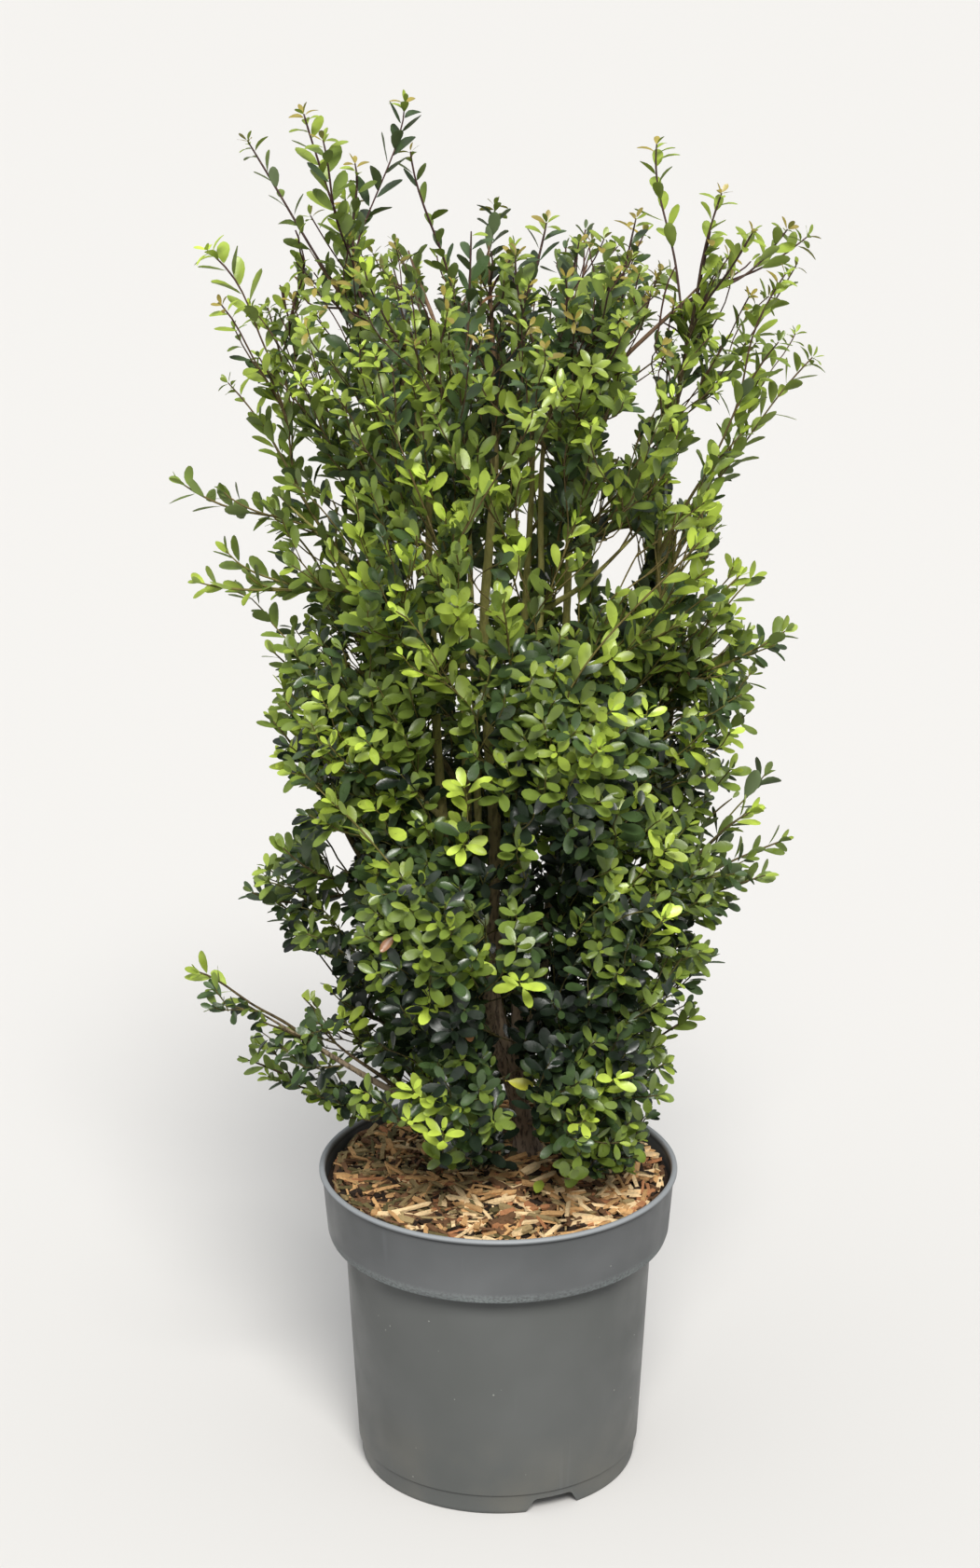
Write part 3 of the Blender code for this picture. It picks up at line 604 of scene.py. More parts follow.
BOUGHS = {  # parent, height at which it leaves it, points it passes, mass it runs into, radius at each end
    "bough_centre": ("trunk", 0.345, (
        (-0.006, 0.010, 0.430), (-0.003, 0.000, 0.560), (-0.012, 0.000, 0.720), (-0.003, 0.000, 0.870),
    ), "foliage_top_centre", 0.0066, 0.0017),
    "bough_left": ("trunk", 0.322, (
        (-0.026, -0.016, 0.440), (-0.046, -0.026, 0.600), (-0.054, -0.018, 0.780), (-0.064, -0.012, 0.905),
    ), "foliage_top_left", 0.0056, 0.0012),
    "bough_far_left": ("bough_left", 0.395, ((-0.058, 0.002, 0.480),), "foliage_lower_left", 0.0040, 0.0018),
    "bough_right": ("trunk", 0.330, (
        (0.036, 0.010, 0.430), (0.050, 0.006, 0.620), (0.056, 0.004, 0.800), (0.064, 0.004, 0.905),
    ), "foliage_top_right", 0.0056, 0.0012),
    "bough_inner_right": ("bough_centre", 0.440, (
        (0.020, -0.022, 0.560), (0.032, -0.034, 0.740), (0.036, -0.052, 0.905),
    ), "foliage_top_front_right", 0.0040, 0.0012),
    "bough_back": ("trunk", 0.318, (
        (0.016, 0.042, 0.430), (0.018, 0.052, 0.640), (0.026, 0.054, 0.820), (0.032, 0.058, 0.905),
    ), "foliage_top_back_right", 0.0052, 0.0012),
    "bough_back_left": ("bough_centre", 0.415, (
        (-0.024, 0.032, 0.540), (-0.030, 0.048, 0.760), (-0.034, 0.056, 0.905),
    ), "foliage_top_back_left", 0.0042, 0.0012),
    "bough_front": ("bough_left", 0.375, (
        (-0.014, -0.040, 0.500), (-0.020, -0.050, 0.720), (-0.032, -0.054, 0.905),
    ), "foliage_top_front_left", 0.0040, 0.0012),
}
SIDE_BOUGHS = {  # parent, height at which it leaves it, mass it runs into
    "side_bough_skirt_left": ("bough_left", 0.358, "foliage_skirt_left"),
    "side_bough_skirt_front_right": ("trunk", 0.312, "foliage_skirt_front_right"),
    "side_bough_lower_front_left": ("bough_front", 0.445, "foliage_lower_front_left"),
    "side_bough_lower_front_right": ("bough_inner_right", 0.480, "foliage_lower_front_right"),
    "side_bough_lower_back_left": ("bough_back_left", 0.470, "foliage_lower_back_left"),
    "side_bough_middle_left": ("bough_left", 0.580, "foliage_middle_left"),
    "side_bough_middle_front": ("bough_inner_right", 0.600, "foliage_middle_front"),
    "side_bough_middle_right": ("bough_right", 0.590, "foliage_middle_right"),
    "side_bough_middle_back_right": ("bough_back", 0.590, "foliage_middle_back_right"),
    "side_bough_upper_left": ("bough_left", 0.745, "foliage_upper_left"),
    "side_bough_upper_front_left": ("bough_front", 0.740, "foliage_upper_front_left"),
    "side_bough_upper_front_right": ("bough_inner_right", 0.755, "foliage_upper_front_right"),
    "side_bough_upper_back_left": ("bough_back_left", 0.750, "foliage_upper_back_left"),
}
LOW_BOUGHS = {  # height on the trunk, points it passes, mass it runs into
    "low_bough_left": (0.298, ((-0.040, -0.028, 0.332), (-0.082, -0.052, 0.352)), "foliage_low_left"),
    "low_bough_far_left": (0.288, ((-0.035, 0.004, 0.300), (-0.070, -0.016, 0.310)), "foliage_low_far_left"),
    "low_bough_front_right": (0.292, ((0.045, 0.000, 0.300),), "foliage_low_front_right"),
}
wood = {}


def smooth_route(points, step):
    """Points about a step apart along a Catmull-Rom curve through the given ones."""
    points = [Vector(point) for point in points]
    ends = [points[0] * 2 - points[1]] + points + [points[-1] * 2 - points[-2]]
    route = [points[0]]
    for before, start, end, after in zip(ends, ends[1:], ends[2:], ends[3:]):
        count = max(1, round((end - start).length / step))
        for i in range(1, count + 1):
            t = i / count
            turn = (2 * before - 5 * start + 4 * end - after) * t ** 2
            bend = (3 * start - before - 3 * end + after) * t ** 3
            route.append(0.5 * (2 * start + (end - before) * t + turn + bend))
    return route


def height_on(name, height):
    """The point of a limb at a height."""
    route = wood[name][0]
    for low, high in zip(route, route[1:]):
        if low.z <= height <= high.z:
            return low.lerp(high, (height - low.z) / (high.z - low.z))
    return route[-1]


def middle_of(node):
    """The middle of a node's box."""
    low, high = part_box(node)
    return (low + high) / 2


def thinned(route, radii):
    """The radii of a limb drawn in to a fine end."""
    to_end = [(Vector(point) - Vector(route[-1])).length for point in route]
    return np.minimum(np.array(radii), [WOOD_END_RADIUS + WOOD_END_TAPER * length for length in to_end])


def add_limb(name, points, first_radius, last_radius):
    """A limb that tapers evenly, with a collar where it leaves its parent."""
    route = smooth_route(points, WOOD_STEP)
    steps = len(route) - 1
    radii = [
        first_radius + (last_radius - first_radius) * (i / steps)
        + COLLAR_SWELL * first_radius * math.exp(-i * WOOD_STEP / COLLAR_REACH)
        for i in range(steps + 1)
    ]
    wood[name] = (route, thinned(route, radii))


trunk_bend = TRUNK_FOOT.lerp(TRUNK_FORK, 0.5) + Vector((0.001, 0, 0))
trunk_route = smooth_route([TRUNK_FOOT, trunk_bend, TRUNK_FORK], TRUNK_STEP)
trunk_radii = [
    TRUNK_RADIUS + (TRUNK_TOP_RADIUS - TRUNK_RADIUS) * i / (len(trunk_route) - 1)
    + (FLARE_RADIUS - TRUNK_RADIUS) * max(0.0, 1.0 - (point.z - TRUNK_FOOT.z) / FLARE_HEIGHT) ** 2
    for i, point in enumerate(trunk_route)
]
wood["trunk"] = (trunk_route, trunk_radii)
for name, (parent, height, passes, mass, first_radius, last_radius) in BOUGHS.items():
    start = height_on(parent, height)
    add_limb(name, [start, *passes, middle_of(mass)], first_radius, last_radius)
for name, (parent, height, mass) in SIDE_BOUGHS.items():
    start = height_on(parent, height)
    end = middle_of(mass)
    out = Vector((end.x - start.x, end.y - start.y, 0.0)) * SIDE_BOUGH_OUT
    bend = start + out + Vector((0, 0, (end.z - start.z) * SIDE_BOUGH_UP))
    add_limb(name, [start, bend, end], *SIDE_BOUGH_RADII)
for name, (height, passes, mass) in LOW_BOUGHS.items():
    add_limb(name, [height_on("trunk", height), *passes, middle_of(mass)], *LOW_BOUGH_RADII)


def route_object(name, limbs):
    """The routes as a mesh of loose lines, with the thickness of the wood at each point."""
    points, edges, thickness = [], [], []
    for route, radii in limbs:
        first = len(points)
        points += [tuple(point) for point in route]
        edges += [(first + i, first + i + 1) for i in range(len(route) - 1)]
        thickness += list(radii)
    mesh = bpy.data.meshes.new(name)
    mesh.from_pydata(points, edges, [])
    stored = mesh.attributes.new("thickness", "FLOAT", "POINT")
    stored.data.foreach_set("value", thickness)
    return new_object(name, mesh)


def wood_along_routes():
    """Round wood along its routes, with the bark's furrows and swellings pushed out of it."""
    tree, given, made = tree_with("wood_along_routes", [
        ("Sides", "Int"), ("Furrow Depth", "Float"), ("Furrow Scale", "Float"), ("Swelling", "Float"),
        ("Material", "Material"),
    ])
    lines = add_node(tree, "GeometryNodeMeshToCurve", {"Mesh": given["Mesh"]}).outputs["Curve"]
    ring = add_node(tree, "GeometryNodeCurvePrimitiveCircle", {"Resolution": given["Sides"], "Radius": 1.0})
    tube = add_node(tree, "GeometryNodeCurveToMesh", {
        "Curve": lines, "Profile Curve": ring.outputs["Curve"],
        "Scale": attribute_of(tree, "thickness", "FLOAT"), "Fill Caps": True,
    }).outputs["Mesh"]
    position = tree.nodes.new("GeometryNodeInputPosition").outputs["Position"]
    normal = tree.nodes.new("GeometryNodeInputNormal").outputs["Normal"]
    drawn_out = {0: position, 1: (1.0, 1.0, 0.3)}
    squeezed = add_node(tree, "ShaderNodeVectorMath", drawn_out, operation="MULTIPLY").outputs["Vector"]
    furrow = add_node(tree, "ShaderNodeTexNoise", {
        "Vector": squeezed, "Scale": given["Furrow Scale"], "Detail": 4.0,
    })
    swell = add_node(tree, "ShaderNodeTexNoise", {"Vector": position, "Scale": BARK_SWELLINGS, "Detail": 1.0})
    push = combined(
        tree, "ADD",
        times(tree, combined(tree, "SUBTRACT", furrow.outputs["Fac"], 0.5), given["Furrow Depth"]),
        times(tree, combined(tree, "SUBTRACT", swell.outputs["Fac"], 0.5), given["Swelling"]),
    )
    outwards = add_node(tree, "ShaderNodeVectorMath", {0: normal, "Scale": push}, operation="SCALE")
    shaped = add_node(tree, "GeometryNodeSetPosition", {
        "Geometry": tube, "Offset": outwards.outputs["Vector"],
    })
    smooth = add_node(tree, "GeometryNodeSetShadeSmooth", {"Geometry": shaped.outputs["Geometry"]})
    tree.links.new(finished(tree, smooth.outputs["Geometry"], given["Material"]), made["Mesh"])
    return tree


def bark_finish(name, stops, low, high):
    """Bark coloured by height from old wood to young, with darker cracks, pale breathing pores and algae."""
    material, tree, shader, place = new_material(name, stops[0], 0.8, 0.3)
    height = add_node(tree, "ShaderNodeSeparateXYZ", {"Vector": place}).outputs["Z"]
    wander = combined(tree, "ADD", height, times(tree, noise_of(tree, place, 30.0), 0.05))
    spread = [(i / (len(stops) - 1), colour) for i, colour in enumerate(stops)]
    colour = ramp_of(tree, range_of(tree, wander, low, high), spread)
    cracks = noise_of(tree, place, 330.0, 5.0, (1.0, 1.0, 0.28))
    depth = range_of(tree, cracks, 0.52, 0.38)
    cracked = times(tree, depth, range_of(tree, height, 0.45, 0.72, 0.7, 0.25))
    colour = mixed(tree, cracked, colour, linear(34, 26, 22))
    pores = add_node(tree, "ShaderNodeTexVoronoi", {"Vector": place, "Scale": 240.0}).outputs["Distance"]
    colour = mixed(tree, range_of(tree, pores, 0.22, 0.12, 0.0, 0.45), colour, linear(150, 132, 108))
    tree.links.new(colour, shader.inputs["Base Color"])
    tree.links.new(range_of(tree, cracks, 0.3, 0.7, 0.9, 0.62), shader.inputs["Roughness"])
    bumped(tree, shader, cracks, 0.8, 0.0007)
    return material


# Bark colours from old wood at the foot to young wood at the top, painted lighter than the bark's own as
# painted light on the trunk and stems in the crown's shade.
BARK_BY_HEIGHT = [
    linear(142, 124, 108), linear(154, 136, 114), linear(160, 142, 104), linear(196, 192, 108),
    linear(184, 176, 104), linear(124, 98, 76),
]
bark_material = bark_finish("holly_bark", BARK_BY_HEIGHT, *BARK_HEIGHTS)
wood_tree = wood_along_routes()
for name, limb in wood.items():
    furrows, swellings = TRUNK_RELIEF if name == "trunk" else BOUGH_RELIEF
    piece = route_object(name + "_bark", [limb])
    grown(piece, wood_tree, {
        "Sides": BARK_SIDES + 8 * (name == "trunk"), "Furrow Depth": furrows, "Furrow Scale": BARK_FURROWS,
        "Swelling": swellings, "Material": bark_material,
    })
    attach(piece, "root")
    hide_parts(name)

# Branches and twigs: what grows on from the boughs. Branches run to the tips of the leading shoots and into
# every mass of foliage, and leafy shoots spring from them, erect in the crown and spreading lower down.
CAMERA_PLACE = Vector((-0.0069, -2.547, 1.453))
SPACING = {"skirt": 0.0180, "lower": 0.0184, "middle": 0.0195, "upper": 0.0238, "top": 0.0300, "low": 0.0155}
LEAFY_LENGTH = {"skirt": 0.055, "lower": 0.060, "middle": 0.075, "upper": 0.115, "top": 0.155, "low": 0.060}
LEAST_LENGTH = {"skirt": 0.034, "lower": 0.040, "middle": 0.050, "upper": 0.070, "top": 0.080, "low": 0.024}
CROWN_LOW = 0.30
CROWN_RADIUS = 0.20
SHOOT_STEP = 0.006
SHOOT_LEAVING = (0.45, 0.75)  # how much of its parent's heading a shoot keeps, and of the straight way
SHOOT_PULL = 0.36
TWIG_THICKNESS = (0.00070, 0.0080)  # least radius at the foot, and what each metre of length adds
SHARE_OF_PARENT = 0.85
WAYS_TRIED = 60
LONGEST_DETOUR = 1.7
MOST_WOOD = 90000
TWIG_END_RADIUS = 0.00056
BOUGH_END_POINTS = 16
BOUGH_STEPS_ON = 9
BACK_SHOOT_HEIGHTS = np.arange(0.40, 0.95, 0.022)
BACK_SHOOT_ROWS = (-0.062, -0.035, -0.008, 0.020, 0.046)
CARRIERS = 7
CARRIERS_LOW = 2
OUTER_STEM_RADII = (0.0042, 0.0010)
LOWEST_SHOOT = 0.274
TRIED_IN_MASS = 1400


def metres(*rows):
    """Rows of millimetres, and of thousandths where a row has a share, as an array."""
    return np.array(rows) / 1000.0


LEADING_TIPS = (  # where the long shoots end, in millimetres, and how much they lean
    (-197, 50, 1113, 0.8), (-148, -20, 1142, 0.5), (-133, -80, 1131, 0.6), (-113, 0, 1104, 0.8),
    (-73, 20, 1146, 0.3), (-69, 80, 1101, 0.6), (-230, 20, 1032, 1.1), (-213, -60, 1004, 0.9),
    (-217, 40, 925, 1.2), (-256, 30, 845, 1.2), (-181, 90, 802, 1.0), (-236, -50, 784, 2.6),
    (-182, -50, 731, 1.0), (-184, -30, 669, 0.8), (-206, -20, 519, 1.2), (-172, -90, 582, 0.7),
    (-240, -110, 480, 1.0), (-209, -40, 377, 1.3), (-186, 60, 470, 0.9), (121, 30, 1114, 0.3),
    (-19, -50, 1060, 0.4), (13, -100, 1050, 0.5), (37, 0, 1058, 0.5), (60, -80, 1055, 0.6),
    (104, -30, 1067, 0.7), (169, -30, 1085, 0.6), (191, -70, 1061, 1.0), (227, 20, 1048, 1.0),
    (247, 60, 1036, 1.3), (255, 80, 938, 1.3), (217, -20, 967, 1.2), (191, -20, 900, 1.0),
    (188, 50, 860, 1.0), (210, 40, 767, 1.1), (229, -20, 739, 1.6), (224, 60, 595, 0.8),
    (238, 20, 548, 1.5), (216, -70, 549, 1.3), (179, 50, 433, 1.0), (162, 0, 402, 1.0),
    (141, 60, 346, 1.0), (23, -223, 960, 1.0), (-31, -249, 820, 1.0), (149, -178, 850, 1.0),
    (76, -209, 700, 0.9), (-37, -211, 560, 0.9), (-130, -150, 640, 0.8), (57, -158, 330, 1.0),
    (90, -160, 1000, 0.8), (-90, -170, 990, 0.8), (0, 150, 1050, 0.7), (96, 216, 980, 1.0),
    (-92, 228, 960, 1.0), (26, 249, 872, 1.1), (49, 231, 716, 1.0), (-157, 157, 730, 1.0),
    (-16, 225, 556, 1.0), (-31, 175, 420, 1.0), (195, 0, 778, 1.0), (174, -50, 762, 1.0),
    (204, 10, 725, 1.4), (180, -30, 600, 1.0), (196, 30, 582, 1.2), (170, -70, 566, 1.0),
    (-70, 110, 345, 1.0), (-5, 120, 338, 1.0), (50, 115, 340, 1.0), (90, 100, 352, 1.0),
    (206, 30, 566, 1.0), (192, -30, 536, 1.0), (212, 0, 580, 1.1), (-172, 20, 985, 0.9),
    (-186, -30, 960, 0.9), (222, -10, 1020, 0.9), (30, 60, 515, 0.6), (28, -20, 520, 0.6),
    (-190, 0, 905, 0.9), (-182, 40, 985, 0.9),
)
RIGHT_STEM = (  # the outer stem on the right, seen from the lower crown to its tip
    (0.088, 0.000, 0.520), (0.124, 0.016, 0.610), (0.139, 0.020, 0.655), (0.131, 0.020, 0.715),
    (0.127, 0.020, 0.785), (0.135, 0.016, 0.875), (0.144, 0.000, 0.951), (0.160, -0.024, 1.050),
)
LEFT_STEM = ((-0.102, 0.000, 0.524), (-0.133, 0.000, 0.582), (-0.158, -0.006, 0.640), (-0.172, -0.016, 0.690))
CROWN_TOP = metres(  # how high all but the leading shoots reach: X, Z on the upright plane through the stem
    (-262, 800), (-222, 845), (-204, 985), (-160, 1003), (-145, 1075), (-120, 1085), (-100, 1060),
    (-88, 1030), (-66, 1060), (-46, 1020), (-30, 1005), (10, 1035), (35, 1012), (65, 1045), (90, 1045),
    (115, 1060), (139, 1005), (165, 1045), (185, 1020), (235, 1040), (262, 950),
)
CROWN_SIDES = metres(  # how far it reaches to either side of the view, by height: Z, left X, right X
    (281, -146, 146), (300, -134, 138), (315, -124, 128), (332, -172, 140), (350, -204, 142),
    (382, -206, 142), (400, -228, 160), (415, -245, 163), (432, -258, 158), (446, -176, 172),
    (465, -178, 168), (490, -192, 184), (512, -204, 218), (546, -194, 226), (562, -150, 226),
    (580, -158, 220), (610, -180, 214), (625, -182, 196), (657, -186, 198), (690, -178, 200),
    (718, -182, 232), (735, -172, 228), (750, -196, 204), (765, -236, 206), (780, -226, 196),
    (810, -230, 182), (840, -255, 180), (856, -160, 180), (885, -168, 192), (902, -184, 196),
    (930, -206, 224), (960, -202, 248), (985, -216, 212), (1010, -212, 228), (1032, -232, 246),
    (1150, -260, 260),
)
SKY_GAPS = metres(  # openings to the sky, on the same plane: X, Z, half width, half height
    (96, 789, 22, 27), (-52, 995, 9, 24), (183, 582, 12, 15), (-132, 375, 13, 12), (-66, 1057, 12, 28),
    (-141, 1036, 10, 20), (95, 889, 15, 21), (114, 917, 12, 21), (110, 954, 14, 19), (56, 755, 12, 17),
    (146, 851, 14, 22), (145, 788, 8, 19), (-150, 793, 12, 13), (177, 993, 11, 14), (-21, 768, 7, 17),
    (-67, 769, 9, 13), (-115, 711, 7, 19), (21, 817, 9, 14), (66, 1020, 7, 16), (145, 914, 7, 14),
    (-76, 1013, 6, 14), (-125, 979, 10, 14), (190, 1016, 10, 14), (138, 810, 8, 9), (13, 767, 6, 16),
    (-126, 832, 6, 14), (173, 783, 7, 15), (-75, 344, 9, 8), (-139, 408, 9, 11), (175, 711, 7, 13),
    (-102, 389, 8, 8), (-126, 507, 10, 10), (-142, 435, 10, 10), (115, 534, 8, 8), (176, 555, 8, 9),
    (-190, 432, 36, 24), (-176, 402, 18, 16), (-215, 815, 26, 12), (-26, 1052, 9, 18),
    (146, 1030, 14, 40), (-200, 1070, 16, 24), (-190, 965, 12, 10), (160, 890, 10, 16), (80, 830, 10, 14),
    (125, 985, 8, 16), (-128, 541, 15, 20), (-147, 442, 13, 14), (-160, 588, 20, 10),
)
STEM_VIEWS = metres(  # places where a stem shows between the leaves: X, Z, half width, half height
    (-13, 782, 11, 56), (-56, 806, 9, 30), (50, 766, 8, 28), (128, 785, 9, 30), (139, 655, 8, 28),
    (-50, 632, 7, 30), (-11, 640, 7, 24), (-3, 560, 8, 30), (-4, 480, 7, 40), (-2, 405, 10, 22),
    (6, 362, 9, 16), (22, 302, 8, 22), (36, 860, 8, 24), (17, 338, 16, 8),
)
THIN_PLACES = metres(  # where one can look through: X, Z, half width, half height, share left out
    (-178, 878, 26, 36, 750), (-179, 818, 26, 34, 620), (-136, 818, 26, 34, 680),
    (-135, 878, 26, 34, 280), (-177, 937, 24, 30, 300), (-96, 399, 22, 24, 600), (-188, 399, 26, 26, 900),
    (-150, 350, 50, 22, 600), (128, 818, 24, 34, 300), (-215, 400, 45, 30, 300), (-140, 505, 26, 34, 720),
    (-139, 570, 24, 34, 420), (19, 757, 46, 32, 480), (134, 448, 24, 28, 720), (135, 399, 24, 26, 600),
    (129, 757, 24, 34, 300), (179, 448, 24, 24, 500), (-4, 818, 24, 30, 250), (-94, 352, 22, 22, 500),
    (-47, 980, 22, 26, 400), (176, 633, 24, 34, 300), (175, 696, 24, 34, 200), (-181, 757, 26, 34, 250),
)
CROWN_FOOT = metres(  # how low the leaves reach, on the same plane: X, Z
    (-250, 330), (-160, 316), (-125, 306), (-92, 302), (-60, 292), (-54, 264), (20, 262), (34, 284),
    (48, 264), (62, 253), (116, 256), (126, 300), (160, 320),
)
WIDE_GAPS = SKY_GAPS[SKY_GAPS[:, 2] * SKY_GAPS[:, 3] > 0.00016]
growth = np.random.default_rng(2024)
wood_place = np.zeros((MOST_WOOD, 3))
wood_heading = np.zeros((MOST_WOOD, 3))
wood_radius = np.zeros(MOST_WOOD)
wood_owner = np.full((MOST_WOOD, 2), -1)
wood_count = 0
shoots = []


def unit(vector):
    return vector / max(np.linalg.norm(vector), 1e-9)


def remember(route, radii, share=1.0, owner=-1):
    """Adds a limb's points to the wood that later shoots may spring from, up to a share of its length."""
    global wood_count
    route = np.array(route)
    heading = np.gradient(route, axis=0)
    heading /= np.linalg.norm(heading, axis=1)[:, None]
    kept = max(2, int(len(route) * share))
    wood_place[wood_count:wood_count + kept] = route[:kept]
    wood_heading[wood_count:wood_count + kept] = heading[:kept]
    wood_radius[wood_count:wood_count + kept] = np.array(radii)[:kept]
    wood_owner[wood_count:wood_count + kept] = [(owner, i) for i in range(kept)]
    wood_count += kept


def rising(place, spread):
    """The way a shoot grows at a place: up and outwards, leaning more further out and lower down."""
    height = min(max((place[2] - CROWN_LOW) / 0.62, 0.0), 1.0)
    lean = np.array([place[0], place[1], 0.0]) / CROWN_RADIUS * (1.15 - 0.45 * height)
    return unit(unit(lean + np.array([0.0, 0.0, 0.55 + 0.45 * height])) + growth.normal(0.0, spread, 3))


def add_shoot(route, radii, leafy, kind, share=1.0):
    """Notes a shoot, how far from its tip it bears leaves, and the last point that another springs from."""
    remember(route, radii, share, len(shoots))
    shoots.append({"route": route, "radii": radii, "leafy": leafy, "kind": kind, "lime": False, "used": 1})


def seen_at(points):
    """Where points show on the upright plane through the stem, looked at from the front."""
    camera = np.array(CAMERA_PLACE)
    scale = -camera[1] / (points[..., 1] - camera[1])
    return camera[0] + (points[..., 0] - camera[0]) * scale, camera[2] + (points[..., 2] - camera[2]) * scale


def lies_in(places, points):
    """The square of how far out each seen point lies in each oval place, with one at its edge."""
    x, z, half_width, half_height = places.T[:4]
    across, up = seen_at(points)
    return ((across[..., None] - x) / half_width) ** 2 + ((up[..., None] - z) / half_height) ** 2


def crosses_gap(starts, end):
    """True for each straight way to the end that shows in one of the wider openings to the sky."""
    ways = starts[:, None] + (end - starts)[:, None] * np.array([[0.25], [0.45], [0.65], [0.8]])
    return (lies_in(WIDE_GAPS, ways) < 0.8).any((1, 2))


def in_the_way(points, beyond=0.0):
    """True for points past the crown's outline, in a gap to the sky, or in front of a stem that shows."""
    points = np.atleast_2d(points)
    across, up = seen_at(points)
    heights, left, right = CROWN_SIDES.T
    blocked = up > np.interp(across, *CROWN_TOP.T) + beyond
    blocked |= up < np.interp(across, *CROWN_FOOT.T)
    blocked |= across < np.interp(up, heights, left) - beyond
    blocked |= across > np.interp(up, heights, right) + beyond
    blocked |= (lies_in(SKY_GAPS, points) < 1.0).any(-1)
    return blocked | ((lies_in(STEM_VIEWS, points) < 1.0).any(-1) & (points[:, 1] < 0.0))


def left_out(place):
    """True for a place that a thin part of the crown leaves bare."""
    shares = THIN_PLACES[:, 4] * (lies_in(THIN_PLACES, place) < 1.0)
    return growth.random() < shares.max()


def spring(tip, aim, leafy, kind, bend_cost=1.3, aim_cost=1.8, least=0.02, share=0.85, thick=1.0, must=False):
    """A shoot to a tip from the wood that leads there most directly, if any does without crossing the sky."""
    places = wood_place[:wood_count]
    reach = tip - places
    length = np.linalg.norm(reach, axis=1) + 1e-9
    way = reach / length[:, None]
    along = (way * wood_heading[:wood_count]).sum(1)
    cost = length * (1.0 + bend_cost * (1.0 - along) + aim_cost * (1.0 - way @ aim))
    cost += 0.06 * np.maximum(0.0, 0.15 - way[:, 2]) + 10.0 * (length < least)
    likely = np.argsort(cost)[:WAYS_TRIED]
    clear = likely[~crosses_gap(places[likely], tip)]
    if not must and (not len(clear) or cost[clear[0]] > LONGEST_DETOUR * cost[likely[0]]):
        return
    start = int(clear[0] if len(clear) else likely[0])
    distance = length[start]
    leave = unit(wood_heading[start] * SHOOT_LEAVING[0] + way[start] * SHOOT_LEAVING[1])
    pull = distance * SHOOT_PULL
    first, second, third = places[start], places[start] + leave * pull, tip - aim * pull
    count = max(4, round(distance / SHOOT_STEP))
    t = np.linspace(0.0, 1.0, count + 1)[:, None]
    route = (1 - t) ** 3 * first + 3 * (1 - t) ** 2 * t * second + 3 * (1 - t) * t * t * third + t ** 3 * tip
    wobble = growth.normal(0.0, 1.0, 3) * min(0.0016, distance * 0.012)
    route += np.sin(t * math.pi * growth.uniform(1.5, 3.0)) * wobble
    fine = TWIG_END_RADIUS * thick
    own = (TWIG_THICKNESS[0] + TWIG_THICKNESS[1] * distance) * thick
    base = max(fine, min(wood_radius[start] * SHARE_OF_PARENT, own))
    radii = base + (fine - base) * t[:, 0] ** 0.8
    add_shoot(route, radii, leafy, kind, share)
    owner, step = wood_owner[start]
    if owner >= 0:
        shoots[owner]["used"] = max(shoots[owner]["used"], int(step))


def points_in_mass(node, count, least, most):
    """Points in a mass of foliage, between its middle and its skin, as shares of the way out."""
    mesh = frame["nodes"][node].data
    mesh.calc_loop_triangles()
    corners = np.array([vert.co for vert in mesh.vertices])
    faces = corners[np.array([face.vertices for face in mesh.loop_triangles])]
    area = np.linalg.norm(np.cross(faces[:, 1] - faces[:, 0], faces[:, 2] - faces[:, 0]), axis=1)
    chosen = faces[growth.choice(len(faces), count, p=area / area.sum())]
    weights = growth.dirichlet((1.0, 1.0, 1.0), count)
    skin = (chosen * weights[:, :, None]).sum(1)
    low, high = (np.array(corner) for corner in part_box(node))
    middle = (low + high) / 2
    share = growth.uniform(least, most, count)[:, None]
    return middle + (skin - middle) * share


def tier_of(node):
    """The tier that a mass of foliage belongs to."""
    return node.split("_")[1]


for route, radii in wood.values():
    remember(route, radii)
masses = sorted(name for name in frame["nodes"] if name.startswith("foliage_"))

right_start = height_on("bough_right", 0.352)
for start, passes in ((right_start, RIGHT_STEM), (height_on("bough_far_left", 0.470), LEFT_STEM)):
    route = np.array(smooth_route([start, *passes], SHOOT_STEP))
    thick, fine = OUTER_STEM_RADII
    radii = thick + (fine - thick) * np.linspace(0.0, 1.0, len(route))
    add_shoot(route, radii, 0.20, "leader")

for name in (*BOUGHS, *SIDE_BOUGHS, *LOW_BOUGHS):
    route = np.array(wood[name][0][-BOUGH_END_POINTS:])
    heading = unit(route[-1] - route[-4])
    for _ in range(BOUGH_STEPS_ON):
        heading = unit(heading + np.array([0.0, 0.0, 0.06]) + growth.normal(0.0, 0.05, 3))
        onward = route[-1] + heading * SHOOT_STEP
        if in_the_way(onward)[0] or in_the_way(onward + heading * 0.012)[0]:
            break
        route = np.vstack([route, onward])
    radii = np.linspace(wood[name][1][-BOUGH_END_POINTS], TWIG_END_RADIUS, len(route))
    add_shoot(route, radii, 0.11, "low" if name in LOW_BOUGHS else "upper")

yellow_tip = np.array((0.0055, -0.075, 0.3735))
spring(yellow_tip, unit(np.array((0.6, -0.6, 0.3))), 0.02, "carrier", must=True)
shoots[-1]["used"] = len(shoots[-1]["route"])

for *tip, lean in sorted(LEADING_TIPS, key=lambda place: place[2]):
    tip = np.array(tip) / 1000.0
    aim = rising(tip * (lean, lean, 1.0), 0.05)
    leafy = growth.uniform(0.20, 0.32) if tip[2] > 0.75 or tip[2] < 0.45 else growth.uniform(0.10, 0.16)
    aim_cost = 5.0 if tip[2] > 0.7 else 2.2
    spring(tip - aim * 0.006, aim, leafy, "leader", 1.6, aim_cost, 0.12, 0.92, 1.40, must=True)

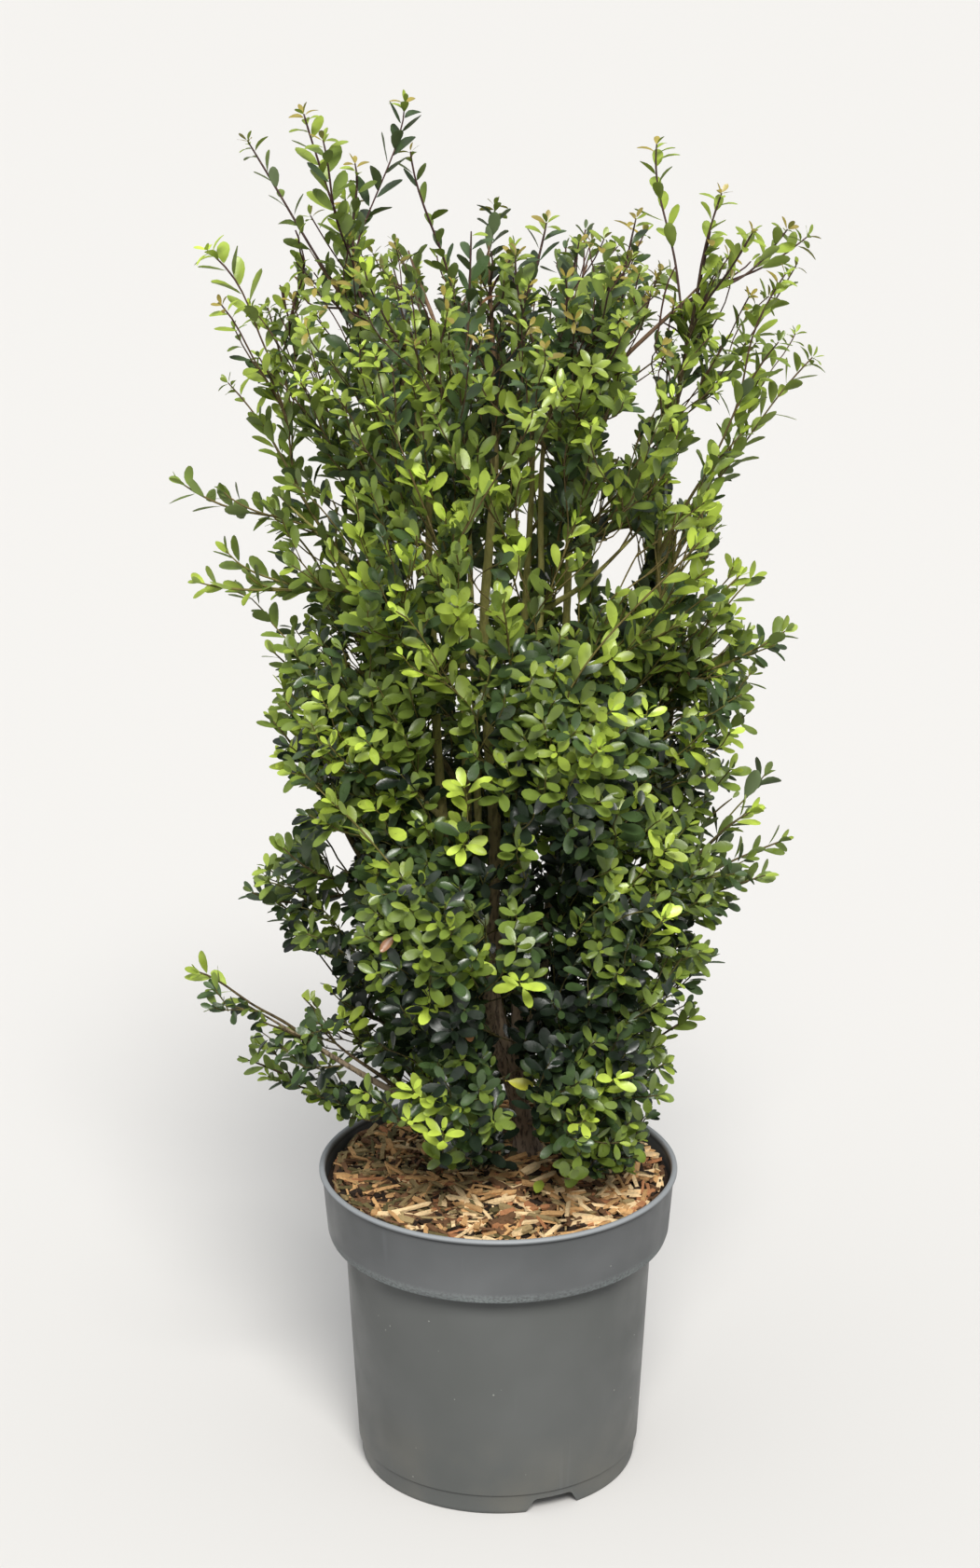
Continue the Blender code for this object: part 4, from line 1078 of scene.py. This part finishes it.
for node in masses:
    count = CARRIERS_LOW if tier_of(node) == "low" else CARRIERS
    carriers = points_in_mass(node, count, 0.25, 0.6)
    for place in carriers[np.argsort(np.hypot(carriers[:, 0], carriers[:, 1]))]:
        spring(place, rising(place, 0.15), 0.04, "carrier", 1.0, 1.6, 0.04, 1.0, 1.3, must=True)

for height in BACK_SHOOT_HEIGHTS:
    depth = 0.150 + 0.11 * (min(height, 0.80) - 0.40)
    for x in BACK_SHOOT_ROWS:
        tip = np.array([x, depth, height]) + growth.uniform(-0.011, 0.011, 3)
        if not in_the_way(tip)[0]:
            kind = "upper" if height > 0.76 else "middle" if height > 0.58 else "lower"
            spring(tip, rising(tip, 0.20), 0.060, kind, least=0.04)

targets = []
taken = np.zeros((0, 3))
for node in masses:
    spacing = SPACING[tier_of(node)]
    candidates = points_in_mass(node, TRIED_IN_MASS, 0.34, 0.95)
    candidates[:, 2] += growth.uniform(-0.022, 0.022, len(candidates))
    over = candidates + np.array([0.0, 0.0, 1.0]) * growth.uniform(0.0, 0.06, (len(candidates), 1))
    blocked = in_the_way(candidates) | in_the_way(over)
    candidates = candidates[~blocked & (candidates[:, 2] > LOWEST_SHOOT)]
    for place in candidates:
        if len(taken) and np.min(((taken - place) ** 2).sum(1)) < spacing ** 2:
            continue
        taken = np.vstack([taken, place])
        if left_out(place):
            continue
        targets.append((np.hypot(place[0], place[1]) + 0.25 * place[2], len(targets), node, place))
for _, _, node, place in sorted(targets, key=lambda item: item[:2]):
    tier = tier_of(node)
    leafy = LEAFY_LENGTH[tier] * growth.uniform(0.75, 1.35)
    spring(place, rising(place, 0.20), leafy, tier, least=LEAST_LENGTH[tier] * growth.uniform(0.8, 1.3))

# Leaves: small, thick and evergreen, blunt with a wedge-shaped base, set singly round each shoot and turned
# to the light. Old leaves are deep green with a waxy shine, new ones lime, and the topmost buds open bronze.
# Further in and in two bands low on the crown the tones are darker, as painted shade, and further out and
# higher up fresher, partly new growth and partly painted light.
LEAF_LENGTH = 0.0228
LEAF_WIDTH = 0.0101
PETIOLE = 0.08
STALK_WIDTH = 0.0012
LEAF_OUTLINE = (  # share of the blade's length, share of the leaf's width
    (0.10, 0.30), (0.30, 0.74), (0.55, 1.00), (0.78, 0.90), (0.94, 0.50),
)
INTERNODE = {
    "skirt": 0.0072, "lower": 0.0074, "middle": 0.0080, "upper": 0.0090, "top": 0.0094, "low": 0.0072,
    "leader": 0.0074, "carrier": 0.0100,
}
LEAF_SIZE = {
    "skirt": 0.84, "lower": 0.86, "middle": 0.92, "upper": 0.97, "top": 0.95, "low": 0.88,
    "leader": 1.0, "carrier": 0.88,
}
LEAF_FORMS = {  # fold along the midrib, backward curve, twist, width; the last is only for half-opened leaves
    "leaf_cupped": (0.30, 0.06, 0.06, 1.00),
    "leaf_flat": (0.10, 0.12, -0.12, 1.04),
    "leaf_folded": (0.46, 0.16, 0.14, 0.92),
    "leaf_twisted": (0.20, -0.05, -0.34, 0.96),
    "leaf_curled": (0.30, 0.46, 0.0, 0.92),
}
TIP_LEAVES = {  # size, opening from the shoot in degrees, and step to the next, from the tip back
    "rosette": ((0.42, 28, 0.06), (0.44, 46, 0.06), (0.48, 58, 0.10), (0.50, 66, 0.30), (0.56, 66, 0.35),
                (0.62, 62, 0.42), (0.72, 56, 0.60), (0.80, 52, 0.75), (0.88, 48, 0.90), (0.94, 46, 0.95)),
    "erect": ((0.44, 14, 0.30), (0.58, 26, 0.35), (0.72, 36, 0.50), (0.86, 42, 0.70), (0.96, 44, 0.85)),
    "star": ((0.50, 20, 0.18), (0.62, 40, 0.22), (0.76, 54, 0.26), (0.90, 62, 0.30), (1.00, 66, 0.40),
             (1.04, 66, 0.80)),
}
TONES = {  # colour of the upper face
    "leaves_deep": linear(27, 40, 26),
    "leaves_dark": linear(66, 87, 48),
    "leaves_mid": linear(120, 140, 60),
    "leaves_fresh": linear(160, 180, 72),
    "leaves_lime": linear(204, 226, 92),
    "leaves_bronze": linear(164, 148, 70),
    "leaves_yellow": linear(252, 240, 84),
    "leaves_dead": linear(150, 106, 76),
}
FRESHER = {  # the tone that a tip's first leaves take on
    "leaves_deep": "leaves_dark", "leaves_dark": "leaves_mid", "leaves_mid": "leaves_fresh",
    "leaves_fresh": "leaves_lime", "leaves_lime": "leaves_lime",
}
FRESH_TONES = ("leaves_fresh", "leaves_lime", "leaves_bronze", "leaves_mid")
MOST_LEAVES = 9000
LOWEST_LEAF = 0.272
ROSETTES_FROM = 0.90
BRONZE_FROM = 0.985
LEAF_TURN = 2.4
LIME_LEAVES = 8
BRONZE_LEAVES = 7
LIME_SHOOT_REACH = 0.017
GLOW = {"leaves_deep": 0.06, "leaves_dark": 0.06}  # share of the light let through, where it is low
GLOW_ELSE = 0.22
MISSING_LEAVES = 0.05
DEAD_LEAVES = 0.0012
LIME_SHOOTS = metres(  # where new lime shoots show: X and Z on the plane through the stem
    (-54, 785), (-79, 722), (-60, 864), (-104, 594), (-32, 542), (-67, 475), (-51, 421), (10, 436),
    (-111, 517), (-142, 414), (-121, 410), (78, 711), (63, 818), (114, 672), (-32, 610), (-43, 301),
    (112, 334), (66, 315),
)


def leaf_form(name, fold, curve, twist, width):
    """One leaf, its stalk at the origin, its blade along Y and its upper face up."""
    form = bmesh.new()
    blade = LEAF_LENGTH * (1 - PETIOLE)
    stalk = [form.verts.new((side * STALK_WIDTH / 2, 0.0, 0.0)) for side in (-1, 1)]
    base = form.verts.new((0.0, LEAF_LENGTH * PETIOLE, 0.0005))
    rows = []
    for share, spread in LEAF_OUTLINE:
        half = LEAF_WIDTH / 2 * spread * width
        along = LEAF_LENGTH * PETIOLE + blade * share
        bend = -curve * blade * share * share
        angle = twist * share
        rows.append([form.verts.new((
            side * half * math.cos(angle), along,
            abs(side) * fold * half + bend + side * half * math.sin(angle),
        )) for side in (-1, 0, 1)])
    tip = form.verts.new((0.0, LEAF_LENGTH, -curve * blade + 0.0005))
    form.faces.new((stalk[0], stalk[1], base))
    for i in range(2):
        form.faces.new((base, rows[0][i + 1], rows[0][i]))
        form.faces.new((rows[-1][i], rows[-1][i + 1], tip))
        for low, high in zip(rows, rows[1:]):
            form.faces.new((low[i], low[i + 1], high[i + 1], high[i]))
    obj = object_from(form, name)
    obj.data.shade_smooth()
    return obj


def leaf_finish(name, colour, glowing):
    """A waxy leaf: its upper face a little uneven in colour and gloss, its underside paler and dull."""
    material, tree, shader, place = new_material(name, colour, 0.35, 0.6)
    shade = [value * 0.66 for value in colour[:3]] + [1.0]
    light = [min(value * 1.25 + 0.004, 1.0) for value in colour[:3]] + [1.0]
    upper = mixed(tree, range_of(tree, noise_of(tree, place, 38.0, 2.0), 0.35, 0.65), shade, light)
    under = mixed(tree, 0.36, upper, linear(142, 156, 112))
    back = tree.nodes.new("ShaderNodeNewGeometry").outputs["Backfacing"]
    surface = mixed(tree, back, upper, under)
    tree.links.new(surface, shader.inputs["Base Color"])
    gloss = range_of(tree, noise_of(tree, place, 90.0, 2.0), 0.3, 0.7, 0.24, 0.42)
    roughness = combined(tree, "ADD", gloss, times(tree, back, 0.25))
    tree.links.new(roughness, shader.inputs["Roughness"])
    bumped(tree, shader, noise_of(tree, place, 520.0, 2.0), 0.25, 0.0004)
    glow = add_node(tree, "ShaderNodeBsdfTranslucent", {
        "Color": mixed(tree, 1.0, surface, linear(250, 255, 150), "MULTIPLY"),
    })
    shaders = {0: glowing, 1: shader.outputs["BSDF"], 2: glow.outputs["BSDF"]}
    both = add_node(tree, "ShaderNodeMixShader", shaders).outputs["Shader"]
    tree.links.new(both, tree.nodes["Material Output"].inputs["Surface"])
    return material


leaves = {tone: [] for tone in TONES}


def put_leaf(tone, place, along, face, size, wide=1.0, form=None):
    """Notes one leaf: where its stalk starts, the way it points and the way its upper face looks."""
    along = unit(along)
    face = unit(face - along * (face @ along))
    across = np.cross(along, face)
    turn = Matrix((across, along, face)).transposed().to_euler()
    form = int(growth.integers(len(LEAF_FORMS) - 1)) if form is None else form
    leaves[tone].append((place, tuple(turn), (size * wide, size, size), form))


def tone_of(place, kind):
    """The tone of a spray's leaves by where it stands: deep and dark further in and in two bands low on the
    crown, as painted shade, and fresher further out and higher up, partly new growth and partly painted
    light.
    """
    height = (place[2] - CROWN_LOW) / 0.80
    skin = np.hypot(place[0], place[1]) / CROWN_RADIUS
    chance = growth.random() + 0.55 * (height - 0.40) + 0.70 * (skin - 0.72)
    # Painted shade: leaves in two bands low on the crown, at 0.50 and 0.635 m, are made darker.
    painted_shade_low_band = 0.14 * math.exp(-((place[2] - 0.50) / 0.08) ** 2)
    painted_shade_middle_band = 0.13 * math.exp(-((place[2] - 0.635) / 0.045) ** 2)
    chance -= painted_shade_low_band + painted_shade_middle_band
    chance += 0.10 * (place[2] < 0.40) - 0.12 * (place[2] > 1.02)
    if kind == "leader":
        chance += 0.12
    if chance < 0.15:
        return "leaves_deep"
    if chance < 0.54:
        return "leaves_dark"
    if chance < (1.14 if place[2] < 0.62 else 0.98):
        return "leaves_mid"
    return "leaves_fresh"


def choose_lime_shoots():
    """Marks the shoots with new growth: the foremost at each noted place, and a few elsewhere."""
    tips = np.array([shoot["route"][-1] for shoot in shoots])
    leafy = np.array([shoot["kind"] != "carrier" for shoot in shoots])
    across, up = seen_at(tips)
    for x, z in LIME_SHOOTS:
        near = leafy & (np.hypot(across - x, up - z) < LIME_SHOOT_REACH)
        if near.any():
            shoots[int(np.argmin(np.where(near, tips[:, 1], 9.0)))]["lime"] = True
    for i in np.nonzero(leafy)[0]:
        shoots[i]["lime"] |= growth.random() < (0.05 if tips[i, 1] > 0.0 else 0.02)


def tone_on_shoot(tone, kind, lime, number, high):
    """The colour of one leaf, counted from the shoot's tip."""
    if lime and number < LIME_LEAVES:
        return "leaves_lime"
    if high and kind in ("leader", "top") and number < BRONZE_LEAVES:
        return "leaves_bronze" if growth.random() < (0.60 if number < 4 else 0.25) else "leaves_fresh"
    if number < 3 and growth.random() < 0.6:
        return FRESHER[tone]
    if number > 5 and growth.random() < 0.10:
        return "leaves_dark" if tone == "leaves_mid" else tone
    return "leaves_dead" if growth.random() < DEAD_LEAVES else tone


def clothe(shoot):
    """Sets the leaves along one shoot, from its tip back."""
    route, kind, lime = shoot["route"], shoot["kind"], shoot["lime"]
    run = np.concatenate([[0.0], np.cumsum(np.linalg.norm(np.diff(route, axis=0), axis=1))])
    tone = tone_of(route[-1], kind)
    high = route[-1][2] > ROSETTES_FROM
    flat = kind in ("skirt", "lower", "middle", "low")
    habit = TIP_LEAVES["rosette" if high and kind in ("leader", "top") else "star" if flat else "erect"]
    spacing = INTERNODE[kind] * growth.uniform(0.85, 1.2)
    scale = growth.uniform(0.86, 1.12) * LEAF_SIZE[kind] * (1.06 if lime else 1.0)
    around = growth.uniform(0.0, math.tau)
    up = np.array([0.0, 0.0, 1.0])
    back, number, outermost = 0.0, 0, run[-1]
    while back < min(shoot["leafy"], run[-1] - 0.004):
        at = run[-1] - back
        i = max(min(int(np.searchsorted(run, at)), len(route) - 1), 1)
        place = route[i - 1] + (route[i] - route[i - 1]) * (at - run[i - 1]) / max(run[i] - run[i - 1], 1e-9)
        stem = unit(route[i] - route[i - 1])
        side = unit(np.cross(stem, up) + 1e-6)
        around += LEAF_TURN + growth.normal(0.0, 0.25)
        out = side * math.cos(around) + np.cross(stem, side) * math.sin(around)
        if number < len(habit):
            size, opening, gap = habit[number]
        else:
            size, opening, gap = growth.uniform(0.80, 1.18), growth.normal(58 if flat else 42, 9), 1.0
        opening = math.radians(opening + growth.normal(0.0, 5.0))
        along = stem * math.cos(opening) + out * math.sin(opening) + up * (0.0 if flat else 0.12)
        face = stem * math.sin(opening) - out * math.cos(opening) + growth.normal(0.0, 0.22, 3)
        light = np.array([0.10, -0.62 if place[1] < 0.04 else 0.62, 0.72])
        if flat:
            along[2] *= 0.85
            face += light * growth.uniform(0.6, 1.3)
        else:
            share = 0.7 if habit is TIP_LEAVES["rosette"] and number < 8 else 1.0
            face += light * growth.uniform(0.4, 1.0) * share
        own_tone = tone_on_shoot(tone, kind, lime, number, route[-1][2] > BRONZE_FROM)
        middle = place + unit(along) * LEAF_LENGTH * size * 0.55
        clear = middle[2] > LOWEST_LEAF and not in_the_way(middle, 0.3 if kind == "leader" else 0.008)[0]
        if clear and growth.random() > MISSING_LEAVES:
            curled = len(LEAF_FORMS) - 1 if habit is TIP_LEAVES["rosette"] and 2 < number < 8 else None
            put_leaf(own_tone, place, along, face, size * scale, growth.uniform(0.82, 1.08), curled)
            outermost = min(outermost, back)
        back += spacing * gap * growth.uniform(0.8, 1.2)
        number += 1
    bare = max(int(np.searchsorted(run, run[-1] - outermost)) + 1, shoot["used"] + 1, 3)
    shoot["route"] = route[:bare + 1]
    shoot["radii"] = thinned(shoot["route"], shoot["radii"][:bare + 1])


choose_lime_shoots()
for shoot in shoots:
    clothe(shoot)
for tone, start, along, face, size in (  # one yellowed leaf by the stem, and one fallen on the mulch
    ("leaves_yellow", yellow_tip, (0.95, -0.25, -0.12), (0.05, -0.75, 0.65), 1.05),
    ("leaves_lime", np.array((0.036, -0.042, 0.2700)), (-0.2, -0.9, 0.03), (0.05, -0.4, 0.9), 0.95),
):
    put_leaf(tone, start, np.array(along), np.array(face), size)

leaf_forms = [leaf_form(name, *values) for name, values in LEAF_FORMS.items()]
leaf_tree = dealing_tree("leaves_dealt", len(leaf_forms))
upper_nodes = [name for name in masses if tier_of(name) in ("upper", "top")]
lower_nodes = [name for name in masses if name not in upper_nodes]
for tone, found in leaves.items():
    material = leaf_finish(tone + "_blade", TONES[tone], GLOW.get(tone, GLOW_ELSE))
    for part, first in enumerate(range(0, len(found), MOST_LEAVES)):
        places = found[first:first + MOST_LEAVES]
        sprays = dealt(f"{tone}_{part + 1}", leaf_tree, leaf_forms, places, material)
        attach(sprays, "root")
        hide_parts(*(upper_nodes if tone in FRESH_TONES else lower_nodes))
for form in leaf_forms:
    bpy.data.objects.remove(form, do_unlink=True)

TWIG_HEIGHTS = (0.30, 1.05)  # where the bark of twigs is oldest and youngest
TWIG_SWELLING = 0.0004
TWIG_AGES = {  # thickest wood of that age, its sides, and its colours from low in the crown to its top
    "twigs_young": (0.00115, 4, (
        linear(80, 64, 44), linear(112, 108, 56), linear(122, 110, 60), linear(84, 56, 56),
    )),
    "twigs_old": (0.0100, 6, (
        linear(82, 66, 50), linear(100, 88, 56), linear(122, 114, 62), linear(78, 58, 54),
    )),
}
ages = {age: [] for age in TWIG_AGES}
for shoot in shoots:
    young = shoot["radii"][0] <= TWIG_AGES["twigs_young"][0]
    step = 2 if young else 1
    kept = list(range(0, len(shoot["route"]) - 1, step)) + [len(shoot["route"]) - 1]
    ages["twigs_young" if young else "twigs_old"].append((shoot["route"][kept], shoot["radii"][kept]))
for age, (_, sides, colours) in TWIG_AGES.items():
    piece = route_object(age, ages[age])
    grown(piece, wood_tree, {
        "Sides": sides, "Furrow Depth": 0.0, "Furrow Scale": BARK_FURROWS, "Swelling": TWIG_SWELLING,
        "Material": bark_finish(age + "_bark", colours, *TWIG_HEIGHTS),
    })
    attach(piece, "root")

# Setting: a plain pale floor, an even white sky and one broad soft lamp from the upper front, and a camera
# that looks down on the plant from the height of a standing person.
FLOOR_SIZE = 120.0
CAMERA_LENS = 76.45
CAMERA_TILT_DEG = 71.5
SKY_STRENGTH = 0.24
floor_mesh = bpy.data.meshes.new("floor")
half = FLOOR_SIZE / 2
floor_corners = [(-half, -half, 0), (half, -half, 0), (half, half, 0), (-half, half, 0)]
floor_mesh.from_pydata(floor_corners, [], [(0, 1, 2, 3)])
floor_material, tree, shader, place = new_material("pale_floor", linear(213, 211, 209), 0.9, 0.1)
floor = new_object("floor", floor_mesh, floor_material)
floor.visible_diffuse = False

world = bpy.data.worlds.new("studio")
bpy.context.scene.world = world
world.use_nodes = True
world.node_tree.nodes["Background"].inputs["Color"].default_value = (0.97, 0.985, 1.0, 1.0)
world.node_tree.nodes["Background"].inputs["Strength"].default_value = SKY_STRENGTH
LAMPS = {  # the way the light goes, strength, spread in degrees, colour
    "key_lamp": ((-0.10, 0.80, -0.90), 3.1, 22, (1.0, 0.985, 0.950)),
    "sky_lamp": ((0.05, 0.30, -1.0), 1.5, 120, (0.96, 0.985, 1.0)),
}
for name, (way, strength, spread, colour) in LAMPS.items():
    lamp_data = bpy.data.lights.new(name, "SUN")
    lamp_data.energy = strength
    lamp_data.angle = math.radians(spread)
    lamp_data.color = colour
    lamp = bpy.data.objects.new(name, lamp_data)
    bpy.context.scene.collection.objects.link(lamp)
    lamp.rotation_euler = Vector(way).to_track_quat("-Z", "Y").to_euler()

camera_data = bpy.data.cameras.new("camera")
camera_data.lens = CAMERA_LENS
camera_data.sensor_width = 36.0
camera_data.sensor_fit = "AUTO"
camera_data.clip_end = 200.0
camera = bpy.data.objects.new("camera", camera_data)
bpy.context.scene.collection.objects.link(camera)
camera.location = CAMERA_PLACE
camera.rotation_euler = (math.radians(CAMERA_TILT_DEG), 0.0, 0.0)
bpy.context.scene.camera = camera
bpy.context.scene.view_settings.view_transform = "Standard"
